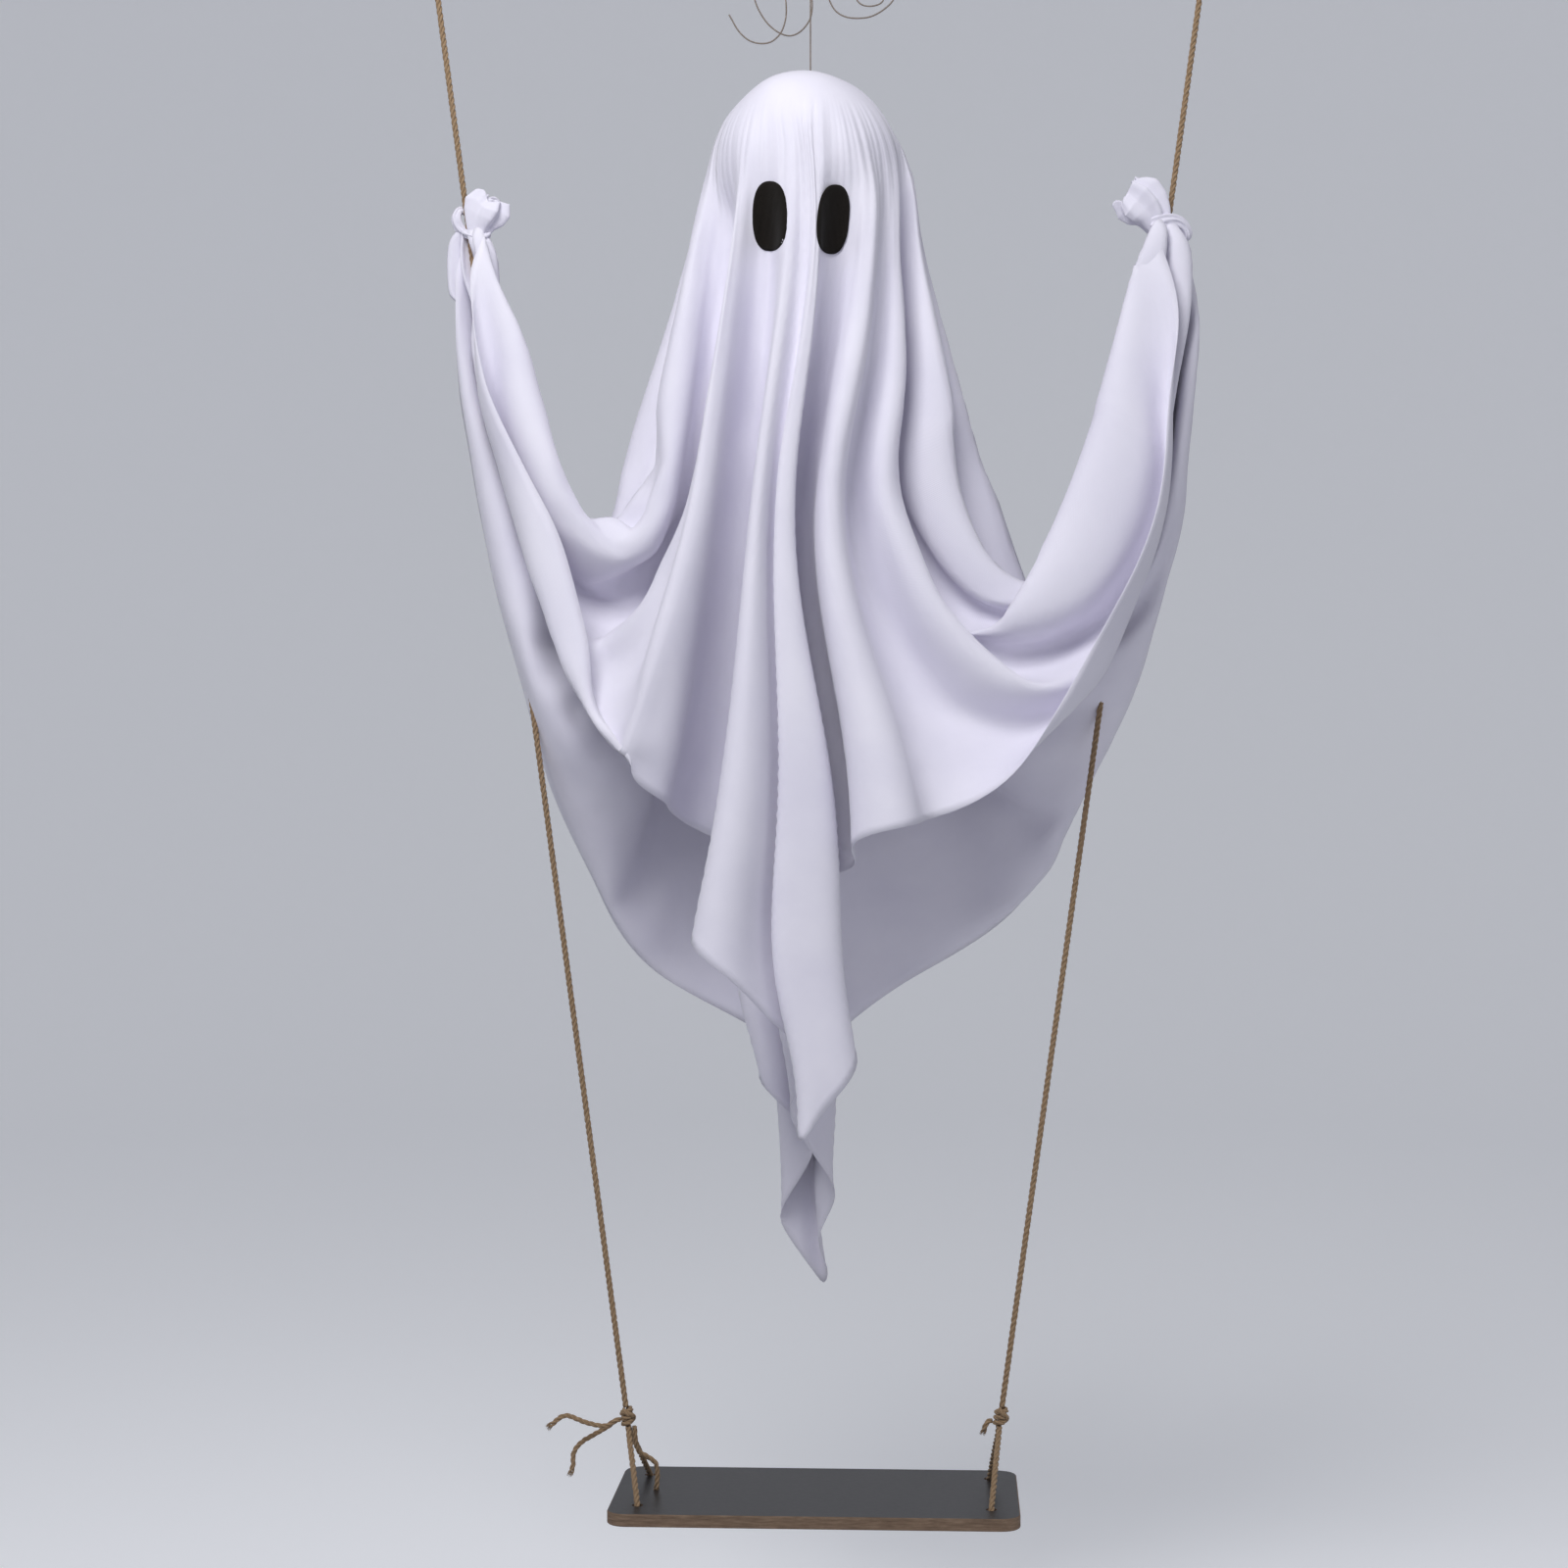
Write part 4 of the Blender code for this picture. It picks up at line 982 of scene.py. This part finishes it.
def landmarks(view, corners):
    """Pairs of a point of the fallen cloth's outline and the same point of the real one's."""
    pairs = []
    for level, left, right in BODY_EDGES:
        body = [s for s in spans(view, corners, level) if s[0] < BALL.x < s[1]][0]
        pairs += [((body[0], level), (left, level)), ((body[1], level), (right, level))]
    for edges, pick in ((LEFT_ARM_EDGES, 0), (RIGHT_ARM_EDGES, -1)):
        for level, low, high in edges:
            stretches = spans(view, corners, level)
            if len(stretches) >= 3:
                arm = stretches[pick]
                pairs += [((arm[0], level), (low, level)), ((arm[1], level), (high, level))]
    for level, left, right in LOWER_EDGES:
        stretches = spans(view, corners, level)
        pairs += [((stretches[0][0], level), (left, level)),
                  ((stretches[-1][1], level), (right, level))]
    for sign, real in ((-1, LEFT_CROTCH), (1, RIGHT_CROTCH)):
        found = crotch(view, corners, sign)
        if found:
            pairs.append((found, real))
    lowest = view[:, 1].argmin()
    pairs.append((tuple(view[lowest]), BACK_TIP))
    for hand in HANDS.values():
        fixed = seen(np.array([hand]))[0]
        pairs.append((tuple(fixed), tuple(fixed)))
    return np.array(pairs)


def kernel(a, b):
    """Thin-plate kernel between two sets of points."""
    away = np.linalg.norm(a[:, None] - b[None], axis=2)
    return away ** 2 * np.log(away + 1e-6)


def fit_outline(places, faces):
    """Ease the fallen cloth sideways and up or down until its outline is the real one's."""
    corners = np.array([f if len(f) == 4 else f + f[-1:] for f in faces])
    view = seen(places)
    pairs = landmarks(view, corners)
    start, shift = pairs[:, 0], pairs[:, 1] - pairs[:, 0]
    count = len(start)
    plane = np.hstack([np.ones((count, 1)), start])
    system = np.zeros((count + 3, count + 3))
    system[:count, :count] = kernel(start, start) + WARP_SOFTNESS * np.eye(count)
    system[:count, count:] = plane
    system[count:, :count] = plane.T
    weights = np.linalg.solve(system, np.vstack([shift, np.zeros((3, 2))]))
    moved = (kernel(view, start) @ weights[:count]
             + np.hstack([np.ones((len(view), 1)), view]) @ weights[count:])
    away = (CAMERA_DISTANCE + places[:, 1]) / CAMERA_DISTANCE
    fitted = places.copy()
    fitted[:, 0] += moved[:, 0] * away
    fitted[:, 2] += moved[:, 1] * away
    return fitted


def relaxed(places, faces, rounds):
    """Places eased towards their neighbours' middle, which takes out the crumpled threads."""
    pairs = np.array([pair for f in faces for pair in zip(f, f[1:] + f[:1])])
    pairs = np.unique(np.sort(pairs, axis=1), axis=0)
    count = np.bincount(pairs.ravel(), minlength=len(places))[:, None]
    eased = places.copy()
    for _ in range(rounds):
        total = np.zeros_like(eased)
        np.add.at(total, pairs[:, 0], eased[pairs[:, 1]])
        np.add.at(total, pairs[:, 1], eased[pairs[:, 0]])
        eased = eased * (1 - EASING) + total / count * EASING
    return eased


def cover_rope(places):
    """Bring the left arm's front fold before the rope, and what lies behind the rope clear of it."""
    covered = places.copy()
    hook, along = SIDES["left"]["hook"], SIDES["left"]["along"]
    deep, height = places[:, 1], places[:, 2]
    rope_x = hook.x + along.x * (height - hook.z) / along.z
    band = (np.clip((HANDS[-1].z - COVER_TOP - height) / COVER_TOP_FADE, 0, 1)
            * np.clip((height - COVER_LOW) / COVER_LOW_FADE, 0, 1))
    before = np.clip((FRONT_FOLD_DEPTH - deep) / FRONT_FOLD_FADE, 0, 1)
    covered[:, 0] -= COVER_SHIFT * band * before * np.exp(-((places[:, 0] - rope_x) / COVER_REACH) ** 2)
    near = band * np.exp(-((covered[:, 0] - rope_x) / ROOM_REACH) ** 2)
    wanted = np.where(deep < ROPE_SPLIT, np.minimum(deep, -ROPE_ROOM), np.maximum(deep, ROPE_ROOM))
    covered[:, 1] += near * (wanted - deep)
    return covered


def make_sheet():
    """The draped sheet, with the small peak where the line lifts it."""
    places, flat, faces = drape()
    fitted = relaxed(fit_outline(places, faces), faces, 1)
    fitted = cover_rope(fitted)
    round_line = np.hypot(fitted[:, 0], fitted[:, 1])
    on_head = fitted[:, 2] > BALL.z
    away = fitted - np.array(BALL)
    reach = np.linalg.norm(away, axis=1)
    near = reach < BALL_CLEARANCE
    fitted[near] = np.array(BALL) + away[near] * (BALL_CLEARANCE / reach[near])[:, None]
    fitted[:, 2] += PEAK_RISE * np.exp(-round_line / PEAK_RADIUS) * on_head
    mesh = bpy.data.meshes.new("draped_sheet")
    mesh.from_pydata([tuple(p) for p in fitted], [], faces)
    layer = mesh.uv_layers.new(name="flat")
    index = np.zeros(len(mesh.loops), np.int32)
    mesh.loops.foreach_get("vertex_index", index)
    layer.uv.foreach_set("vector", flat.astype(np.float32)[index].ravel())
    mesh.shade_smooth()
    sheet = add("draped_sheet", mesh, JERSEY, "ghost")
    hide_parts("sheet")
    finer = sheet.modifiers.new("finer", "SUBSURF")
    finer.levels = 1
    finer.render_levels = 1
    thicken(sheet, SHEET_THICKNESS, 0)
    return sheet


# Knotted corners

TUFT_CLOTH = 0.05


def route_of(points, step):
    """A smooth path through places given as seen in the ropes' plane, across, up and deep."""
    placed = []
    for x, z, y in points:
        away = (CAMERA_DISTANCE + y) / CAMERA_DISTANCE
        placed.append(Vector((VIEW_X + (x - VIEW_X) * away, y, VIEW_Z + (z - VIEW_Z) * away)))
    return resample(smooth(placed, 8), step)


def tuft(name, middle, widths, depths, ridges, phase):
    """A gathered end of cloth above its knot: a ridged cone that opens into a wavy rim."""
    path = route_of(middle, 0.0012)
    rings, sides = len(path), 96
    share = np.linspace(0, 1, rings)
    tangent = directions(path)
    deep = np.array((0.0, 1.0, 0.0))
    deep = deep - tangent * (tangent @ deep)[:, None]
    deep /= np.linalg.norm(deep, axis=1)[:, None]
    wide = np.cross(deep, tangent)
    turn = np.linspace(0, 2 * math.pi, sides, endpoint=False)
    places = np.linspace(0, 1, len(widths))
    half_wide = np.interp(share, places, widths)[:, None]
    half_deep = np.interp(share, places, depths)[:, None]
    ridge = np.cos(ridges * turn + phase + 0.9 * np.sin(2 * turn + phase))
    crease = np.cos((2 * ridges + 1) * turn - 1.7 * phase)
    swell = 1 + (0.12 + 0.13 * share[:, None]) * ridge + 0.05 * share[:, None] * crease
    rim = 0.0030 * np.cos(3 * turn + 2 * phase) + 0.0014 * np.cos(5 * turn - phase)
    lift = (share[:, None] ** 3) * rim
    ring = (path[:, None] + (half_wide * swell * np.cos(turn))[..., None] * wide[:, None]
            + (half_deep * swell * np.sin(turn))[..., None] * deep[:, None]
            + lift[..., None] * tangent[:, None])
    soup = Soup()
    flat = [(TUFT_CLOTH * k / sides, TUFT_CLOTH * s) for s in share for k in range(sides)]
    soup.grid(ring, flat, closed=True)
    made = add(name, soup.mesh(name), JERSEY, "ghost")
    thicken(made, 2 * SHEET_THICKNESS, -1)
    return made


def bundle(name, middle, radii, ridges, twist, flat=0.7):
    """A rolled band of cloth with creases along it, thinner towards its ends."""
    path = route_of(middle, 0.0010)
    share = np.linspace(0, 1, len(path))
    radius = np.interp(share, np.linspace(0, 1, len(radii)), radii)
    sides = 48
    turn = np.linspace(0, 2 * math.pi, sides, endpoint=False)
    creased = 1 + 0.15 * np.cos(ridges * turn + twist * share[:, None]) \
        + 0.05 * np.cos((ridges + 3) * turn - 1.4 * twist * share[:, None] + 1.0)
    squash = np.sqrt(np.cos(turn) ** 2 + (flat * np.sin(turn)) ** 2)
    soup = Soup()
    soup.tube(path, radius, sides, bumps=creased * squash)
    soup.flat = [(0.04 * u, v) for u, v in soup.flat]
    return add(name, soup.mesh(name), JERSEY, "ghost")


def flap(name, left, right, depth, curl):
    """A hanging corner of cloth, folded lengthwise, between two edges."""
    left, right = route_of(left, 0.0025), route_of(right, 0.0025)
    rows = max(len(left), len(right))
    share = np.linspace(0, 1, rows)
    edges = [np.stack([np.interp(share, np.linspace(0, 1, len(e)), e[:, k]) for k in range(3)], axis=1)
             for e in (left, right)]
    columns = 17
    grid = []
    for i in range(rows):
        row = []
        for k in range(columns):
            u = k / (columns - 1)
            place = edges[0][i] * (1 - u) + edges[1][i] * u
            place[1] -= depth * math.sin(math.pi * u) ** 0.8 + curl * math.sin(3 * math.pi * u) * share[i]
            row.append(place)
        grid.append(row)
    soup = Soup()
    flat = [(0.02 * k / (columns - 1), 0.08 * s) for s in share for k in range(columns)]
    soup.grid(grid, flat, closed=False)
    made = add(name, soup.mesh(name), JERSEY, "ghost")
    thicken(made, SHEET_THICKNESS, 0)
    return made


def make_hands():
    """The knots that tie the sheet's two corners to the ropes, and the cloth beyond them."""
    pieces = [
        tuft("left_tuft", [(-0.3220, -0.3050, -0.003), (-0.3195, -0.2930, -0.004),
                           (-0.3135, -0.2790, -0.005), (-0.3085, -0.2680, -0.006)],
             [0.0085, 0.0125, 0.0180, 0.0200, 0.0150], [0.0080, 0.0095, 0.0120, 0.0125, 0.0080],
             5, 0.6),
        tuft("left_tuft_inner", [(-0.3200, -0.3000, -0.001), (-0.3150, -0.2860, -0.002),
                                 (-0.3080, -0.2700, -0.003)],
             [0.0060, 0.0095, 0.0120, 0.0085], [0.0050, 0.0060, 0.0065, 0.0040], 4, 2.1),
        bundle("left_wrap", [(-0.3140, -0.3000, 0.004), (-0.3130, -0.3035, -0.006),
                             (-0.3210, -0.3060, -0.0115), (-0.3300, -0.3035, -0.0095),
                             (-0.3345, -0.3010, -0.002), (-0.3320, -0.3000, 0.007)],
               [0.0030, 0.0042, 0.0046, 0.0042, 0.0034], 5, 5.0),
        bundle("left_loop", [(-0.3280, -0.3040, 0.004), (-0.3400, -0.2960, 0.003),
                             (-0.3435, -0.2860, 0.002), (-0.3395, -0.2790, 0.004),
                             (-0.3300, -0.2830, 0.006)],
               [0.0028, 0.0048, 0.0050, 0.0042, 0.0030], 4, 3.0),
        flap("left_corner", [(-0.3405, -0.2960, 0.005), (-0.3500, -0.3100, 0.007),
                             (-0.3515, -0.3500, 0.008), (-0.3490, -0.3620, 0.008),
                             (-0.3400, -0.3700, 0.008)],
             [(-0.3330, -0.2980, 0.006), (-0.3370, -0.3100, 0.007),
              (-0.3375, -0.3400, 0.009), (-0.3370, -0.3560, 0.010),
              (-0.3375, -0.3690, 0.010)], 0.0035, 0.0012),
        tuft("right_tuft", [(0.3365, -0.2990, -0.004), (0.3310, -0.2830, -0.006),
                            (0.3190, -0.2690, -0.007), (0.3080, -0.2600, -0.008)],
             [0.0090, 0.0160, 0.0215, 0.0230, 0.0170], [0.0085, 0.0105, 0.0130, 0.0135, 0.0085],
             6, 1.9),
        tuft("right_tuft_inner", [(0.3330, -0.2940, -0.002), (0.3240, -0.2760, -0.005),
                                  (0.3110, -0.2640, -0.007)],
             [0.0065, 0.0115, 0.0140, 0.0100], [0.0060, 0.0070, 0.0080, 0.0050], 5, 0.4),
        bundle("right_wrap", [(0.3270, -0.2950, 0.004), (0.3290, -0.2930, -0.007),
                              (0.3370, -0.2900, -0.0125), (0.3460, -0.2885, -0.0110),
                              (0.3560, -0.2900, -0.0070), (0.3630, -0.2960, -0.0040),
                              (0.3655, -0.3040, -0.0020), (0.3600, -0.3085, 0.0010)],
               [0.0034, 0.0060, 0.0068, 0.0068, 0.0060, 0.0046, 0.0028], 6, 4.0),
        bundle("right_wrap_back", [(0.3280, -0.2960, 0.003), (0.3370, -0.3010, 0.008),
                                   (0.3470, -0.2990, 0.009), (0.3550, -0.2930, 0.003)],
               [0.0030, 0.0050, 0.0050, 0.0034], 5, 3.0),
    ]
    return pieces


sheet = make_sheet()
make_hands()


# Eyes

def make_eye(name):
    """A felt oval that lies on the sheet, found by looking at it from the camera."""
    (centre_x, centre_z), half_width, half_height, tilt = EYES[name]
    graph = bpy.context.evaluated_depsgraph_get()
    tree = BVHTree.FromObject(sheet, graph)
    eye = Vector((VIEW_X, -CAMERA_DISTANCE, VIEW_Z))
    count = EYE_SIDES
    bm = bmesh.new()
    rows = []
    for ring in range(EYE_RINGS + 1):
        share = ring / EYE_RINGS
        row = []
        for k in range(count if ring else 1):
            angle = 2 * math.pi * k / count
            across, up = (math.copysign(abs(value) ** EYE_SQUARENESS, value)
                          for value in (math.cos(angle), math.sin(angle)))
            dx, dz = share * half_width * across, share * half_height * up
            target = Vector((centre_x + dx * math.cos(tilt) - dz * math.sin(tilt), 0,
                             centre_z + dx * math.sin(tilt) + dz * math.cos(tilt)))
            ray = (target - eye).normalized()
            place = tree.ray_cast(eye, ray)[0]
            lift = EYE_THICKNESS * (1.0 if share < 0.95 else 0.55)
            row.append(bm.verts.new(place - ray * lift))
        rows.append(row)
    for k in range(count):
        bm.faces.new((rows[0][0], rows[1][k], rows[1][(k + 1) % count]))
    for inner, outer in zip(rows[1:], rows[2:]):
        for k in range(count):
            n = (k + 1) % count
            bm.faces.new((inner[k], outer[k], outer[n], inner[n]))
    bmesh.ops.recalc_face_normals(bm, faces=bm.faces)
    mesh = bpy.data.meshes.new(name + "_felt")
    bm.to_mesh(mesh)
    bm.free()
    mesh.shade_smooth()
    made = add(name + "_felt", mesh, FELT, "ghost")
    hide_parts(name)
    thicken(made, EYE_THICKNESS, -1)


for eye_name in EYES:
    make_eye(eye_name)


# Hooks, ball, button and board

def make_hook(name, x):
    """A round plate with an eased rim, two screws and a J of smooth wire."""
    bm = bmesh.new()
    inner, lower = PLATE_RADIUS - PLATE_RIM, -PLATE_THICKNESS
    profile = [(0.0, 0.0), (inner, 0.0), (PLATE_RADIUS, -PLATE_RIM),
               (PLATE_RADIUS, lower + PLATE_RIM), (inner, lower), (0.0, lower)]
    turned(bm, profile, (x, 0.0, 0.0), 64)
    for y in (-SCREW_OFFSET, SCREW_OFFSET):
        dome = [(0.0, lower - 0.0016), (0.0016, lower - 0.0015), (0.0030, lower - 0.0009),
                (SCREW_HEAD_RADIUS, lower + 0.0002)]
        turned(bm, dome, (x, y, 0.0), 24)
    mesh = bpy.data.meshes.new(name + "_plated")
    bm.to_mesh(mesh)
    bm.free()
    mesh.shade_smooth()
    mesh.set_sharp_from_angle(angle=math.radians(40))
    made = add(name + "_plated", mesh, STEEL, "ceiling_hooks")
    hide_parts(name)
    bend_z = -HOOK_DROP + HOOK_BEND_RADIUS
    neck_z = -PLATE_THICKNESS * 1.5
    route = smooth([(x, 0, -PLATE_THICKNESS / 2), (x, 0, neck_z),
                    (x + HOOK_BEND_RADIUS * 0.5, 0, (neck_z + bend_z) / 2),
                    (x + HOOK_BEND_RADIUS, 0, bend_z)], 6)
    for step in range(1, 25):
        angle = math.pi * step / 24
        route.append(Vector((x + HOOK_BEND_RADIUS * math.cos(angle), 0,
                             bend_z - HOOK_BEND_RADIUS * math.sin(angle))))
    route.append(Vector((x - HOOK_BEND_RADIUS, 0, bend_z + HOOK_TIP_RISE)))
    soup = Soup()
    soup.tube(resample(route, 0.0008), HOOK_WIRE_RADIUS, 16)
    wire_piece = add(name + "_wire", soup.mesh(name + "_wire"), STEEL, "ceiling_hooks")
    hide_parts(name)


def turned(bm, profile, place, sides):
    """A turned shape from a profile of (radius, height) that starts and ends on its axis or rim."""
    rings = []
    for radius, height in profile:
        if radius == 0.0:
            rings.append([bm.verts.new((place[0], place[1], place[2] + height))])
            continue
        rings.append([bm.verts.new((place[0] + radius * math.cos(2 * math.pi * k / sides),
                                    place[1] + radius * math.sin(2 * math.pi * k / sides),
                                    place[2] + height)) for k in range(sides)])
    for a, b in zip(rings, rings[1:]):
        for k in range(sides):
            n = (k + 1) % sides
            if len(a) == 1:
                bm.faces.new((a[0], b[k], b[n]))
            elif len(b) == 1:
                bm.faces.new((a[k], b[0], a[n]))
            else:
                bm.faces.new((a[k], b[k], b[n], a[n]))
    bmesh.ops.recalc_face_normals(bm, faces=bm.faces)


for hook_name, hook_x in HOOKS_X.items():
    make_hook(hook_name, hook_x)
for cad_name, finish in (("head_ball", foam_material()), ("line_button", birch_material()),
                         ("seat_board", board_material())):
    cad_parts[cad_name].data.materials.clear()
    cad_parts[cad_name].data.materials.append(finish)


# Stage and light

def paper_material():
    """Matt pale paper, which the camera sees a little paler than the lamps alone make it."""
    made = new_material("sweep_paper", (0.84, 0.85, 0.88), 0.9)
    shader = shader_of(made)
    shader.inputs["Emission Color"].default_value = (0.93, 0.95, 1.0, 1.0)
    path = node(made, "ShaderNodeLightPath")
    looked_at = maths(made, "MAXIMUM", path.outputs["Is Camera Ray"], path.outputs["Is Glossy Ray"])
    wire(made, maths(made, "MULTIPLY", looked_at, PAPER_GLOW), shader.inputs["Emission Strength"])
    return made


def make_stage():
    """A pale round floor whose rim curves up into a wall on every side."""
    profile = [(0.0, 0.0), (FLOOR_RADIUS, 0.0)]
    for step in range(1, 25):
        angle = math.pi / 2 * step / 24
        profile.append((FLOOR_RADIUS + RIM_RADIUS * math.sin(angle),
                        RIM_RADIUS * (1 - math.cos(angle))))
    profile.append((FLOOR_RADIUS + RIM_RADIUS, WALL_HEIGHT))
    bm = bmesh.new()
    turned(bm, profile, (0, 0, FLOOR_Z), 128)
    mesh = bpy.data.meshes.new("sweep")
    bm.to_mesh(mesh)
    bm.free()
    mesh.shade_smooth()
    mesh.materials.append(paper_material())
    linked("sweep", mesh)


def area_light(name, place, size, power, target):
    """A square soft box aimed at a point."""
    data = bpy.data.lights.new(name, "AREA")
    data.energy = power
    data.size = size
    lamp = linked(name, data)
    lamp.location = place
    lamp.rotation_euler = (Vector(target) - Vector(place)).to_track_quat("-Z", "Y").to_euler()


def make_light():
    """A big soft key from the upper left front, a weak fill and a pale world."""
    for name, values in LAMPS.items():
        area_light(name, *values)
    world = bpy.data.worlds.new("studio")
    bpy.context.scene.world = world
    world.use_nodes = True
    background = world.node_tree.nodes["Background"]
    background.inputs["Color"].default_value = WORLD_COLOUR
    background.inputs["Strength"].default_value = WORLD_STRENGTH
    bpy.context.scene.view_settings.view_transform = "Standard"


make_stage()
make_light()
